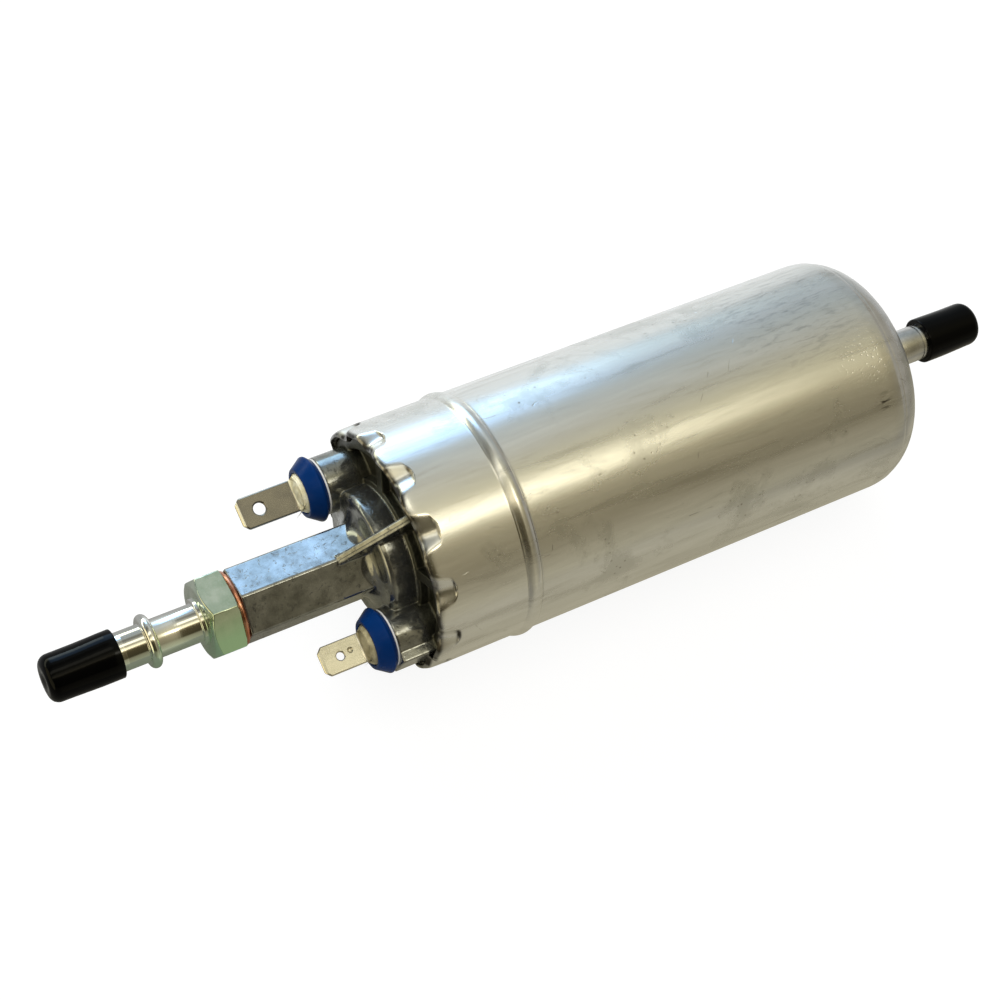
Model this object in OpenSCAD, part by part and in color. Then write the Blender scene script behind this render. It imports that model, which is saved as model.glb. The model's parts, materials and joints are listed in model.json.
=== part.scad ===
// In-line electric fuel pump: a drawn aluminium can with a die-cast outlet cover crimped into
// its front, a permanent-magnet motor inside and an internal-gear pump set at the rear.
// +X runs along the pump from the outlet to the inlet, the two blade terminals lie on the Y
// axis, and the origin is on the axis, halfway along the plain stretch that a band clamp grips.

/* [Can] */
// Outside diameter of the can
can_d = 52; // [51:0.5:56]
// Wall thickness of the can
can_wall = 1.5; // [1.2:0.1:1.7]
// Length of the can from its front lip to its rear shoulder
can_len = 109; // [106:1:130]
// Corner radius of the closed rear end
shoulder_r = 11; // [10:0.5:12]
// Distance from the front lip to the middle of the rolled bead
bead_from_lip = 21; // [16:0.5:26]
// Width of the rolled bead
bead_w = 3.2; // [2.6:0.1:4]
// Height of the rolled bead over the wall
bead_h = 0.65; // [0.4:0.05:0.8]
// Radius of the flare where the can is drawn down to the inlet pipe
neck_flare = 4.4; // [3.5:0.1:5]

/* [Crimp] */
// Number of staking dents round the front edge
dent_count = 13; // [9:1:14]
// Length of a dent behind the lip
dent_len = 3.9; // [3:0.1:4.2]
// Radius of the punch that makes a dent
dent_r = 3.4; // [3:0.1:4]
// Depth of a dent at its rear end
dent_depth = 1.05; // [0.8:0.05:1.2]
// How much deeper a dent is at the lip than at its rear end
dent_fall = 0.75; // [0.4:0.05:0.9]
// Angle of the first dent, counted from the wide terminal towards the upper rib
dent_first = 17; // [0:0.1:27]

/* [Outlet cover] */
// Depth of the cover's face below the lip
cover_inset = 0.7; // [0.4:0.1:1]
// Thickness of the cover's disc
cover_t = 7.3; // [7:0.1:8]
// Height of the round hub over the lip
hub_rise = 5; // [4.4:0.1:6]
// Diameter of the round hub
hub_d = 28; // [27:0.5:30]
// Depth of the ring-shaped relief round the hub
relief_depth = 1.9; // [1:0.1:2.4]
// Width across the flats of the hexagonal boss
boss_af = 14.5; // [14:0.1:15]
// Length of the hexagonal boss in front of the hub
boss_len = 28; // [27:0.5:34]
// Radius of the fillet at the foot of the boss
boss_fillet = 4; // [3:0.5:5]
// Thickness of the gusset ribs
rib_t = 2; // [1.6:0.1:2.6]
// Distance between the two terminals
terminal_pitch = 33.9; // [33.5:0.1:34.4]
// Diameter of a terminal tower
tower_d = 12.2; // [11.6:0.1:12.6]
// Height of a terminal tower over the lip
tower_rise = 6.9; // [6:0.1:8]

/* [Terminals] */
// Width of the wide blade
wide_blade_w = 6.8; // [6.4:0.1:8]
// Free length of the wide blade
wide_blade_len = 12.8; // [11:0.1:14]
// Width of the narrow blade
narrow_blade_w = 6.3; // [5.5:0.1:6.4]
// Free length of the narrow blade
narrow_blade_len = 9.6; // [8.6:0.1:12]
// Thickness of both blades
blade_t = 0.8; // [0.6:0.1:1]
// Largest diameter of an insulator
insulator_d = 14; // [13.6:0.1:14.4]
// Length of an insulator's head
insulator_len = 4; // [3.4:0.1:4.6]
// Thickness of the fibre washer under an insulator
fibre_t = 0.35; // [0.3:0.05:0.6]

/* [Outlet fitting] */
// Width across the flats of the fitting's hexagon
fitting_af = 16; // [15.6:0.1:17]
// Thickness of the fitting's hexagon
fitting_hex_t = 6.4; // [5:0.1:7.5]
// Outside diameter of both hose spigots
spigot_d = 8; // [7.8:0.1:8.2]
// Wall thickness of both hose spigots
spigot_wall = 1.1; // [0.9:0.05:1.3]
// Length of the outlet spigot in front of the hexagon
outlet_len = 30; // [28:0.5:36]
// Distance from the hexagon to the spigot's collar
collar_from_hex = 9.8; // [8:0.1:11]
// Diameter of the collar
collar_d = 11.2; // [10.5:0.1:12]
// Width of the collar
collar_w = 2.2; // [1.8:0.1:2.6]
// Thickness of the copper sealing washer
copper_t = 1.2; // [1:0.1:1.5]
// Diameter of the copper sealing washer
copper_d = 15.8; // [15.2:0.1:16.4]
// Depth of the turned reliefs that end a spigot's plain seat
seat_relief = 0.2; // [0.18:0.02:0.26]

/* [Inlet and caps] */
// Length of the inlet pipe behind the can
inlet_len = 27.2; // [25:0.2:34]
// Length of the inlet cap
inlet_cap_len = 14.2; // [12:0.1:16]
// Length of the outlet cap
outlet_cap_len = 15.1; // [12:0.1:16]
// Wall thickness of both caps
cap_wall = 0.9; // [0.7:0.05:1.1]

/* [Motor] */
// Length of the brush holder
holder_len = 12.9; // [12.5:0.1:14]
// Wall thickness of the steel flux ring
flux_wall = 1.9; // [1.6:0.1:2]
// Thickness of a magnet
magnet_t = 4.7; // [4.2:0.1:4.8]
// Arc that a magnet covers
magnet_arc = 126; // [110:2:136]
// Air gap between the magnets and the armature
air_gap = 0.5; // [0.4:0.05:0.7]
// Room between the armature's iron core and the bearing plate
core_room = 7.1; // [7:0.1:12]
// Number of armature slots
slot_count = 8; // [6:1:9]
// Diameter of the armature shaft
shaft_d = 5; // [4.6:0.1:5.2]
// Diameter of the commutator
commutator_d = 13; // [12.6:0.1:13.4]
// Side of the square brushes
brush_side = 5; // [4.6:0.1:5.2]
// Length of a brush
brush_len = 7.3; // [6:0.1:7.5]

/* [Pump set] */
// Number of teeth on the inner rotor
teeth = 6; // [5:1:7]
// Distance between the two rotor axes
rotor_shift = 1.2; // [0.9:0.05:1.25]
// Radius on which the outer rotor's lobes are centred, as a share of the can's radius
lobe_share = 0.4423; // [0.435:0.001:0.448]
// Radius of one lobe of the outer rotor
lobe_r = 3; // [2.7:0.1:3.1]
// Thickness of the rotors
rotor_t = 9; // [7:0.5:9]
// Thickness of the intake plate
intake_t = 7; // [6.5:0.5:8]
// Thickness of the bearing plate
bearing_t = 8; // [8:0.5:9]

/* [Fits] */
// Radial clearance of parts that are pressed or seated together
seat_gap = 0.04; // [0.03:0.01:0.05]
// Radial clearance of parts that turn or slide in each other
run_gap = 0.06; // [0.05:0.01:0.08]
// Clearance between the faces of the two rotors
mesh_gap = 0.12; // [0.08:0.01:0.15]

/* [Hidden] */

$fn = 64;
eps = 0.01;
over = 1;

// Can stations along X
can_r = can_d / 2;
can_in = can_r - can_wall;
bead_x = -(can_len - bead_from_lip) / 2;
lip_x = bead_x - bead_from_lip;
shoulder_x = lip_x + can_len;
end_x = shoulder_x + shoulder_r;
spigot_r = spigot_d / 2;
crease_back = 3.6;
crease_r = 0.25;
inner_face_x = end_x - can_wall;

// Cover stations and sizes
cover_r = can_in - seat_gap;
cover_x = lip_x + cover_inset;
cover_back = cover_x + cover_t;
hub_x = lip_x - hub_rise;
hub_r = hub_d / 2;
hub_edge = 1.2;
boss_x = hub_x - boss_len;
boss_corner = boss_af / sqrt(3);
tower_x = lip_x - tower_rise;
tower_r = tower_d / 2;
terminal_y = terminal_pitch / 2;
groove_in = hub_r + 1.2;
groove_out = cover_r - 3;
cast_rib_t = 2.4;
seal_r = 1;
seal_pitch_r = can_in - seal_r - seat_gap;
seal_x = cover_back - 2;
seal_groove_w = 2.4;
seal_groove_r = seal_pitch_r - seal_r - seat_gap;
tower_pad_z = 4.3;
tower_pad_y = can_in - 0.9;

// Outlet passage
thread_r = 5;
thread_len = 10;
chamber_r = 3.8;
chamber_len = 20;
chamber_end = boss_x + chamber_len;
throat_r = 2.2;
throat_end = hub_x - 3;
port_count = 3;
port_r = 1.4;
port_out_r = 12;
port_first = 45;
fitting_corner = fitting_af / sqrt(3);
fitting_x = boss_x - copper_t;
fitting_front = fitting_x - fitting_hex_t;
spigot_end = fitting_front - outlet_len;
collar_x = fitting_front - collar_from_hex;
spigot_bore = spigot_r - spigot_wall;

// Terminals
rod_r = 2;
sleeve_r = 3.2;
insulator_r = insulator_d / 2;
insulator_back = tower_x - fibre_t;
insulator_x = insulator_back - insulator_len;
insulator_front_r = insulator_r - 1.6;
insulator_well_r = insulator_front_r - 1.05;
insulator_well = 2.6;
foot_r = 3.65;
foot_x = insulator_x - 0.7;
foot_t = 1.2;
shoulder_disc_r = 3.9;
blade_fillet = 0.9;
blade_chamfer = 1.1;

// Pump set stations, counted forward from the rear shoulder
skirt_end = shoulder_x + 0.6;
skirt_len = 8.6;
intake_back = skirt_end - skirt_len;
intake_x = intake_back - intake_t;
rotor_back = intake_x;
rotor_x = rotor_back - rotor_t;
bearing_x = rotor_x - bearing_t;

// Motor stations
holder_x = cover_back;
holder_back = holder_x + holder_len;
holder_wall = 2;
holder_web = 2.5;
brush_from_holder = 6.8;
brush_block_x = 8.4;
brush_block_z = 10;
brush_spring_len = 6.6;
vent_pitch_r = 15.5;
vent_r = 3;
block_from_commutator = 2;
brush_x = holder_x + brush_from_holder;
commutator_r = commutator_d / 2;
commutator_x = holder_x + 2;
commutator_len = 9.4;
brush_gap = 0.2;
brush_face = commutator_r + brush_gap;
brush_back = brush_face + brush_len;
tube_wall = 0.4;
tube_in = brush_side + 2 * run_gap;
tube_out = tube_in + 2 * tube_wall;
tube_start = commutator_r + 2.2;
tube_cap_y = brush_back + brush_spring_len;
flux_out = can_in - seat_gap;
flux_in = flux_out - flux_wall;
magnet_out = flux_in - seat_gap;
magnet_in = magnet_out - magnet_t;
core_r = magnet_in - air_gap;
core_x = holder_back + 5;
core_back = bearing_x - core_room;
core_len = core_back - core_x;
magnet_x = core_x - 1;
magnet_back = core_back + 1;
shaft_r = shaft_d / 2;
bush_r = shaft_r + 2;
bush_len = 6;
slot_r = 2.9;
slot_pitch_r = core_r - 5.6;
slot_mouth = 2.2;
end_turn = 4.2;
washer_t = 0.8;
washer_r = 4.4;

// Pump set sizes
face_gap = 0.06;
ring_r = can_in - seat_gap;
skirt_wall = 2;
lobe_pitch = lobe_share * can_r;
root_r = lobe_pitch - lobe_r + 2 * rotor_shift + mesh_gap;
outer_rotor_r = root_r + 3.75;
ring_bore = outer_rotor_r + run_gap;
pin_r = 2.5;
pin_len = 13.5;
prong_count = 4;
prong_r = 0.95;
prong_pitch_r = 4.9;
prong_len = 4;
coupling_r = 6.6;
coupling_t = 2.9;
coupling_x = rotor_x - 0.2 - coupling_t;
coupling_well = coupling_t + 0.6;
flat_depth = 0.7;
rear_bush_len = bearing_t - coupling_well;
screw_count = 4;
screw_r = 1.5;
screw_head_r = 2.7;
screw_head_t = 2;
screw_room = 0.76;
screw_pitch_r = ring_r - skirt_wall - screw_head_r - screw_room;
kidney_in = lobe_pitch - lobe_r - rotor_shift + 0.3;
kidney_out = root_r - 0.4;
kidney_arc = 110;
relief_z = -18;
relief_hole_r = 1.5;
relief_bore_r = 2.6;
relief_seat_x = intake_x + 2;
relief_boss_r = 4.2;
relief_boss_len = 6;
relief_end = intake_back + relief_boss_len;
ball_r = 2.3;
ball_x = relief_seat_x + sqrt(pow(ball_r, 2) - pow(relief_hole_r, 2)) + 0.04;
retainer_t = 2;

// Valve in the outlet
valve_head_r = 3.3;
valve_head_t = 1.6;
valve_gap = 0.04;
valve_guide_r = throat_r - run_gap;
valve_x = chamber_end - valve_gap;

// Strainer
strainer_r = 9;
strainer_len = 8;
strainer_wall = 1;
strainer_floor = 1;
strainer_hole_r = 0.75;
pipe_flange_r = 6.6;
pipe_flange_t = 1.3;

// Caps
cap_in = spigot_r + run_gap;
cap_round = 1.9;
cap_tip = 1.3;
cap_taper = 0.12;
inlet_end = end_x + inlet_len;
outlet_cap_rim = spigot_end - cap_tip - 1.2 + outlet_cap_len;
inlet_cap_rim = inlet_end + cap_tip + 1 - inlet_cap_len;
seat_relief_w = 0.7;

// Runs a shape that is drawn along Z out along X, starting at station x
module along_x(x) {
    translate([x, 0, 0]) rotate([0, 90, 0]) children();
}

// Turns a flat profile, drawn as radius across and station up, round the pump's axis
module turned() {
    rotate([0, 90, 0]) rotate_extrude() children();
}

// Rectangle in a turned profile, from radius r1 to r2 and from station x1 to x2
module band(r1, r2, x1, x2) {
    translate([r1, x1]) square([r2 - r1, x2 - x1]);
}

// Round bar or bore along X
module rod(x1, x2, r) {
    along_x(x1) cylinder(h = x2 - x1, r = r);
}

// Round tube along X
module tube(x1, x2, r_out, r_in) {
    turned() band(r_in, r_out, x1, x2);
}

// Copies of a shape at equal steps round the pump's axis, counted from +Y towards +Z
module round_x(count, first) {
    for (i = [0 : count - 1]) rotate([first + i * 360 / count, 0, 0]) children();
}

// Part of a turned profile that covers an arc, centred on +Y before it is turned to angle at
module arc_x(at, arc) {
    rotate([at, 0, 0]) rotate([0, 90, 0]) rotate([0, 0, 90 - arc / 2])
        rotate_extrude(angle = arc) children();
}

// Centre line of a coil spring along Z
function coil_point(r, len, turns, t) =
    [r * cos(360 * turns * t), r * sin(360 * turns * t), len * t];

// One ring of six corners round the wire at place t
function coil_ring(r, len, turns, wire, t) =
    let (c = coil_point(r, len, turns, t), a = 360 * turns * t,
         out = [cos(a), sin(a), 0], rise = atan(len / (2 * PI * r * turns)),
         up = [sin(a) * sin(rise), -cos(a) * sin(rise), cos(rise)])
    [for (k = [0 : 5]) c + wire * (cos(60 * k) * out + sin(60 * k) * up)];

// Least space between neighbouring turns of a spring's wire
function coil_gap(r, len, turns, wire, steps) =
    min([for (i = [0 : steps - 5]) for (j = [i + 4 : steps])
        norm(coil_point(r, len, turns, i / steps) - coil_point(r, len, turns, j / steps))
        - 2 * wire]);

// Coil spring along Z, wound as one closed tube
module coil(r, len, turns, wire) {
    steps = turns * 8;
    pts = [for (i = [0 : steps]) each coil_ring(r, len - 2 * wire, turns, wire, i / steps)];
    sides = [for (i = [0 : steps - 1]) for (k = [0 : 5])
        let (a = 6 * i + k, b = 6 * i + (k + 1) % 6)
        each [[a, b + 6, b], [a, a + 6, b + 6]]];
    front = [for (k = [1 : 4]) [0, k, k + 1]];
    back = [for (k = [1 : 4]) [6 * steps, 6 * steps + k + 1, 6 * steps + k]];
    translate([0, 0, wire]) polyhedron(points = pts, faces = concat(sides, front, back));
    echo(str("least gap between turns, mm: ", coil_gap(r, len - 2 * wire, turns, wire, steps)));
}

// Punch that makes one dent: a bar on +Y, tilted so that it is deeper at the lip
module dent_punch(grow) {
    tilt = atan(dent_fall / dent_len);
    translate([lip_x + dent_len, can_r - dent_depth + dent_r, 0])
        rotate([0, 0, tilt]) rotate([0, -90, 0])
            translate([0, 0, -grow]) cylinder(h = dent_len + grow + over, r = dent_r + grow);
}

// Wall of the can, from the crimped lip to the closed end
module can_profile() {
    difference() {
        union() {
            band(0, can_r, lip_x, shoulder_x);
            band(0, can_r - shoulder_r, shoulder_x, end_x);
            intersection() {
                band(0, can_r, shoulder_x, end_x);
                translate([can_r - shoulder_r, shoulder_x]) circle(r = shoulder_r);
            }
            bead_round = (pow(bead_w / 2, 2) + pow(bead_h, 2)) / (2 * bead_h);
            translate([can_r + bead_h - bead_round, bead_x]) circle(r = bead_round);
            difference() {
                band(0, spigot_r + 0.6 + neck_flare, end_x - eps, end_x + neck_flare);
                translate([spigot_r + 0.6 + neck_flare, end_x + neck_flare])
                    circle(r = neck_flare);
            }
        }
        band(-over, can_in, lip_x - over, shoulder_x);
        band(-over, can_r - shoulder_r, shoulder_x - eps, inner_face_x);
        intersection() {
            band(0, can_in, shoulder_x - eps, inner_face_x);
            translate([can_r - shoulder_r, shoulder_x]) circle(r = shoulder_r - can_wall);
        }
        band(-over, spigot_r + seat_gap, inner_face_x - eps, end_x + neck_flare + over);
        crease_x = shoulder_x + crease_back;
        translate([can_r - shoulder_r + sqrt(pow(shoulder_r, 2) - pow(crease_back, 2)) + 0.17,
                   crease_x]) circle(r = crease_r);
        translate([can_r + 0.55, lip_x - 0.55]) rotate(45) square(1.2, center = true);
        band(-over, 0, lip_x - can_r, end_x + neck_flare + over);
    }
}

module housing() {
    color("silver") difference() {
        union() {
            turned() can_profile();
            intersection() {
                round_x(dent_count, dent_first) dent_punch(can_wall - 0.3);
                tube(lip_x, lip_x + dent_len + 1.2, can_in + eps, can_in - 1.6);
            }
        }
        round_x(dent_count, dent_first) dent_punch(0);
    }
}

module inlet_pipe() {
    color("lightgray") turned() difference() {
        union() {
            band(0, spigot_r, inner_face_x - pipe_flange_t, inlet_end);
            band(0, pipe_flange_r, inner_face_x - pipe_flange_t, inner_face_x);
        }
        band(-over, spigot_bore, inner_face_x - pipe_flange_t - over, inlet_end + over);
        seat_end(end_x + neck_flare);
        seat_end(inlet_cap_rim - seat_relief_w);
        translate([spigot_r, inlet_end]) rotate(45) square(0.7, center = true);
    }
}

// Turned relief round a spigot, at the end of its plain seat
module seat_end(x) {
    band(spigot_r - seat_relief, spigot_r + over, x, x + seat_relief_w);
}

// Six-sided bar with slightly rounded corners, one corner on +Z
module hex_bar(x1, x2, corner_r, round_off) {
    intersection() {
        along_x(x1) cylinder(h = x2 - x1, r = corner_r, $fn = 6);
        rod(x1, x2, corner_r - round_off);
    }
}

// Turned body of the cover: disc, hub with a rounded edge, and the fillet up to the boss
module cover_body() {
    turned() {
        difference() {
            band(0, cover_r, cover_x, cover_back);
            band(groove_in, groove_out, cover_x - over, cover_x + relief_depth);
            band(seal_groove_r, cover_r + over, seal_x - seal_groove_w / 2,
                 seal_x + seal_groove_w / 2);
        }
        band(0, hub_r, hub_x + hub_edge, cover_x + relief_depth + eps);
        band(0, hub_r - hub_edge, hub_x, hub_x + hub_edge + eps);
        translate([hub_r - hub_edge, hub_x + hub_edge]) circle(r = hub_edge);
        difference() {
            band(0, boss_af / 2 - 0.2 + boss_fillet, hub_x - boss_fillet, hub_x + eps);
            translate([boss_af / 2 - 0.2 + boss_fillet, hub_x - boss_fillet])
                circle(r = boss_fillet);
        }
    }
}

// Gusset rib from the boss down to the cover's rim, in the plane through the axis and +Z
module gusset() {
    rib_front = hub_x - 7.4;
    rib_out = cover_r - 1;
    translate([0, rib_t / 2, 0]) rotate([90, 0, 0]) linear_extrude(rib_t)
        polygon([[rib_front, boss_corner - 0.7], [cover_x, rib_out],
                 [cover_x + relief_depth + 1, rib_out], [cover_x + relief_depth + 1, hub_r - 2],
                 [hub_x, 5], [rib_front, 5]]);
}

// Cast ribs that cross the ring-shaped relief and carry the towers
module relief_ribs() {
    for (a = [52, 128, 232, 308]) rotate([a, 0, 0])
        translate([cover_x, hub_r - 2, -cast_rib_t / 2])
            cube([relief_depth + 1, groove_out - hub_r + 3, cast_rib_t]);
}

// Terminal tower on the +Y side, with the flat pad on its outer side when pad is true
module tower(pad) {
    translate([0, terminal_y, 0]) rod(tower_x, cover_x + relief_depth + 1, tower_r);
    if (pad) intersection() {
        translate([tower_x, terminal_y, -tower_pad_z])
            cube([cover_x + relief_depth + 1 - tower_x, tower_pad_y - terminal_y,
                  2 * tower_pad_z]);
        rod(tower_x, cover_back, cover_r - 0.4);
    }
}

module front_cover() {
    color("dimgray") difference() {
        union() {
            cover_body();
            hex_bar(boss_x, hub_x + 1, boss_corner, 0.12);
            gusset();
            mirror([0, 0, 1]) gusset();
            relief_ribs();
            tower(false);
            mirror([0, 1, 0]) tower(true);
        }
        round_x(dent_count, dent_first) dent_punch(can_wall - 0.3 + 0.06);
        rod(boss_x - over, boss_x + thread_len + 0.6, thread_r + seat_gap);
        rod(boss_x + thread_len, chamber_end, chamber_r);
        rod(chamber_end - eps, throat_end + 1, throat_r);
        round_x(port_count, port_first) slant_port();
        rod(cover_back - bush_len, cover_back + over, bush_r + seat_gap);
        for (s = [1, -1]) translate([0, s * terminal_y, 0])
            rod(tower_x - over, cover_back + over, sleeve_r + seat_gap);
    }
}

// Slanted passage from the motor space to the throat of the outlet
module slant_port() {
    run = cover_back - throat_end;
    translate([throat_end, 0, 0]) rotate([0, 90 - atan(port_out_r / run), 0])
        cylinder(h = norm([run, port_out_r]) + 3, r = port_r);
}

module cover_seal() {
    color("black") turned() translate([seal_pitch_r, seal_x]) circle(r = seal_r);
}

module outlet_fitting() {
    color("darkseagreen") difference() {
        union() {
            intersection() {
                rotate([9, 0, 0]) along_x(fitting_front)
                    cylinder(h = fitting_hex_t, r = fitting_corner, $fn = 6);
                turned() polygon([[0, fitting_front], [fitting_af / 2 - 0.5, fitting_front],
                    [fitting_corner, fitting_front + 1], [fitting_corner, fitting_x - 0.3],
                    [fitting_af / 2 + 0.4, fitting_x], [0, fitting_x]]);
            }
            turned() difference() {
                union() {
                    band(0, spigot_r, spigot_end, fitting_front + 1);
                    band(0, spigot_r + 0.9, fitting_front - 0.8, fitting_front + 1);
                    band(0, collar_d / 2 - collar_w / 2, collar_x - collar_w, collar_x);
                    translate([collar_d / 2 - collar_w / 2, collar_x - collar_w / 2])
                        circle(d = collar_w);
                    band(0, thread_r, fitting_x - over, boss_x + thread_len);
                }
                translate([spigot_r, spigot_end]) rotate(45) square(1, center = true);
                seat_end(outlet_cap_rim);
                translate([thread_r + 0.25, boss_x + 0.3]) circle(r = 0.5);
            }
        }
        rod(spigot_end - over, boss_x + thread_len + over, spigot_bore);
    }
}

module sealing_washer() {
    color("chocolate") turned() union() {
        band(thread_r + seat_gap, copper_d / 2 - copper_t / 2, fitting_x, boss_x);
        translate([copper_d / 2 - copper_t / 2, (fitting_x + boss_x) / 2])
            circle(d = copper_t);
    }
}

// Blade outline, tip towards -X, with two chamfered corners
module blade_outline(w, len) {
    polygon([[foot_x + eps, -w / 2], [foot_x - len + blade_chamfer, -w / 2],
             [foot_x - len, -w / 2 + blade_chamfer], [foot_x - len, w / 2 - blade_chamfer],
             [foot_x - len + blade_chamfer, w / 2], [foot_x + eps, w / 2]]);
}

// Edge-on section of a blade, with a bevelled tip and a fillet on each side of its foot
module blade_section(len) {
    tip = 0.28;
    difference() {
        union() {
            polygon([[foot_x, -blade_t / 2], [foot_x - len + 0.7, -blade_t / 2],
                     [foot_x - len, -tip / 2], [foot_x - len, tip / 2],
                     [foot_x - len + 0.7, blade_t / 2], [foot_x, blade_t / 2]]);
            translate([foot_x - blade_fillet, -blade_t / 2 - blade_fillet])
                square([blade_fillet + 0.2, blade_t + 2 * blade_fillet]);
        }
        for (s = [1, -1]) translate([foot_x - blade_fillet, s * (blade_t / 2 + blade_fillet)])
            circle(r = blade_fillet);
    }
}

// Terminal on the +Y side: blade, round foot, shoulder and the rod through the cover
module terminal(w, len, hole_r, hole_back) {
    translate([0, terminal_y, 0]) difference() {
        union() {
            intersection() {
                translate([0, 0, -3]) linear_extrude(6) blade_outline(w, len);
                translate([0, w, 0]) rotate([90, 0, 0]) linear_extrude(2 * w)
                    blade_section(len);
            }
            rod(foot_x, foot_x + foot_t, foot_r);
            rod(foot_x + foot_t - eps, insulator_x + insulator_well, shoulder_disc_r);
            rod(foot_x + foot_t, brush_x - tube_out / 2 - seat_gap, rod_r);
        }
        translate([foot_x - len + hole_back, 0, -over]) cylinder(h = 2 * over, r = hole_r);
    }
}

module wide_terminal() {
    color("tan") terminal(wide_blade_w, wide_blade_len, 1.3, 4.5);
}

module narrow_terminal() {
    catch_x = foot_x - narrow_blade_len + 6.6;
    color("khaki") mirror([0, 1, 0]) difference() {
        terminal(narrow_blade_w, narrow_blade_len, 0.85, 4.3);
        translate([catch_x, terminal_y - 0.4, blade_t / 2 - 0.35]) cylinder(h = 1, r = 0.45);
    }
}

// Insulator on the +Y side: a cone-shaped head with a well, and a sleeve through the cover
module insulator() {
    translate([0, terminal_y, 0]) difference() {
        turned() difference() {
            union() {
                polygon([[0, insulator_x], [insulator_front_r - 0.5, insulator_x],
                    [insulator_front_r - 0.12, insulator_x + 0.15],
                    [insulator_front_r + 0.08, insulator_x + 0.5],
                    [insulator_r - 0.1, insulator_back - 0.7],
                    [insulator_r, insulator_back - 0.45],
                    [insulator_r, insulator_back - 0.2],
                    [insulator_r - 0.2, insulator_back], [0, insulator_back]]);
                band(0, sleeve_r, insulator_back - eps, cover_back);
            }
            band(-over, insulator_well_r, insulator_x - over, insulator_x + insulator_well);
        }
        rod(insulator_x, cover_back + over, rod_r + seat_gap);
    }
}

module wide_insulator() {
    color("navy") insulator();
}

module narrow_insulator() {
    color("navy") mirror([0, 1, 0]) insulator();
}

module fibre_washers() {
    color("white") for (s = [1, -1]) translate([0, s * terminal_y, 0])
        tube(insulator_back, tower_x, insulator_r - 0.4, sleeve_r + seat_gap);
}

// Block of the brush holder that carries one brush tube, on the +Y side
module brush_block() {
    start = commutator_r + block_from_commutator;
    translate([brush_x - brush_block_x / 2, start, -brush_block_z / 2])
        cube([brush_block_x, flux_in - start, brush_block_z]);
}

module brush_holder() {
    color("saddlebrown") difference() {
        union() {
            tube(holder_x, holder_back, flux_out, flux_out - holder_wall);
            tube(holder_x, holder_x + holder_web, flux_out,
                 commutator_r + block_from_commutator);
            for (s = [0, 1]) mirror([0, s, 0]) intersection() {
                brush_block();
                rod(holder_x, holder_back, flux_out - 0.5);
            }
        }
        for (s = [0, 1]) mirror([0, s, 0]) {
            translate([brush_x, 0, 0]) tube_space(tube_out + 2 * seat_gap, tube_start - over,
                                                  tube_cap_y + tube_wall + seat_gap);
            translate([0, terminal_y, 0])
                rod(holder_x - over, brush_x, rod_r + seat_gap);
        }
        round_x(4, 45) translate([0, vent_pitch_r, 0])
            rod(holder_x - over, holder_x + holder_web + over, vent_r);
    }
}

// Square bar along +Y, centred on X = 0 and Z = 0
module tube_space(side, y1, y2) {
    translate([-side / 2, y1, -side / 2]) cube([side, y2 - y1, side]);
}

module brush_tubes() {
    color("gold") for (s = [0, 1]) mirror([0, s, 0]) translate([brush_x, 0, 0]) difference() {
        tube_space(tube_out, tube_start, tube_cap_y + tube_wall);
        tube_space(tube_in, tube_start - over, tube_cap_y);
    }
}

// Carbon brush on the +Y side, its face hollowed to the commutator
module brush() {
    difference() {
        translate([brush_x, 0, 0]) tube_space(brush_side, commutator_r - 1, brush_back);
        rod(commutator_x - over, commutator_x + commutator_len + over, brush_face);
    }
}

module upper_brush() {
    color("black") brush();
}

module lower_brush() {
    color("black") mirror([0, 1, 0]) brush();
}

// Spring behind the brush on the +Y side
module brush_spring() {
    translate([brush_x, brush_back + 0.05, 0]) rotate([-90, 0, 0])
        coil(1.8, tube_cap_y - brush_back - 0.1, 6, 0.25);
}

module upper_brush_spring() {
    color("gray") brush_spring();
}

module lower_brush_spring() {
    color("gray") mirror([0, 1, 0]) brush_spring();
}

// Magnet whose middle is at angle at from +Y
module magnet(at) {
    arc_x(at, magnet_arc) band(magnet_in, magnet_out, magnet_x, magnet_back);
}

module upper_magnet() {
    color("dimgray") magnet(90);
}

module lower_magnet() {
    color("dimgray") magnet(270);
}

module magnet_clips() {
    clip_arc = 180 - magnet_arc - 3;
    clip_t = 0.6;
    color("lightsteelblue") for (at = [0, 180]) {
        arc_x(at, clip_arc) band(magnet_out - clip_t, magnet_out, magnet_x, magnet_back);
        for (s = [1, -1])
            arc_x(at + s * (clip_arc / 2 - 1), 2)
                band(magnet_out - 3, magnet_out - clip_t + eps, magnet_x, magnet_back);
    }
}

module flux_ring() {
    color("slategray") tube(holder_back, bearing_x, flux_out, flux_in);
}

module front_bush() {
    color("peru") tube(cover_back - bush_len, cover_back, bush_r, shaft_r + run_gap);
}

module rear_bush() {
    color("peru") tube(bearing_x, bearing_x + rear_bush_len, bush_r, shaft_r + run_gap);
}

module armature_shaft() {
    tail = coupling_x + coupling_t - 0.3;
    color("lightslategray") difference() {
        turned() difference() {
            band(0, shaft_r, cover_back - bush_len + 0.5, tail);
            for (x = [cover_back - bush_len + 0.5, tail])
                translate([shaft_r, x]) rotate(45) square(0.6, center = true);
        }
        translate([coupling_x, shaft_r - flat_depth, -shaft_r])
            cube([coupling_t + over, shaft_d, shaft_d]);
    }
}

// Slots of the core: round pockets with a narrow mouth
module core_slots(r, grow) {
    round_x(slot_count, 0) translate([0, slot_pitch_r, 0]) {
        rod(core_x - grow, core_back + grow, r);
        translate([core_x - grow, 0, -slot_mouth / 2])
            cube([core_len + 2 * grow, core_r - slot_pitch_r + over, slot_mouth]);
    }
}

module armature_core() {
    color("slategray") difference() {
        tube(core_x, core_back, core_r, shaft_r + seat_gap);
        core_slots(slot_r, over);
    }
}

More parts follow.
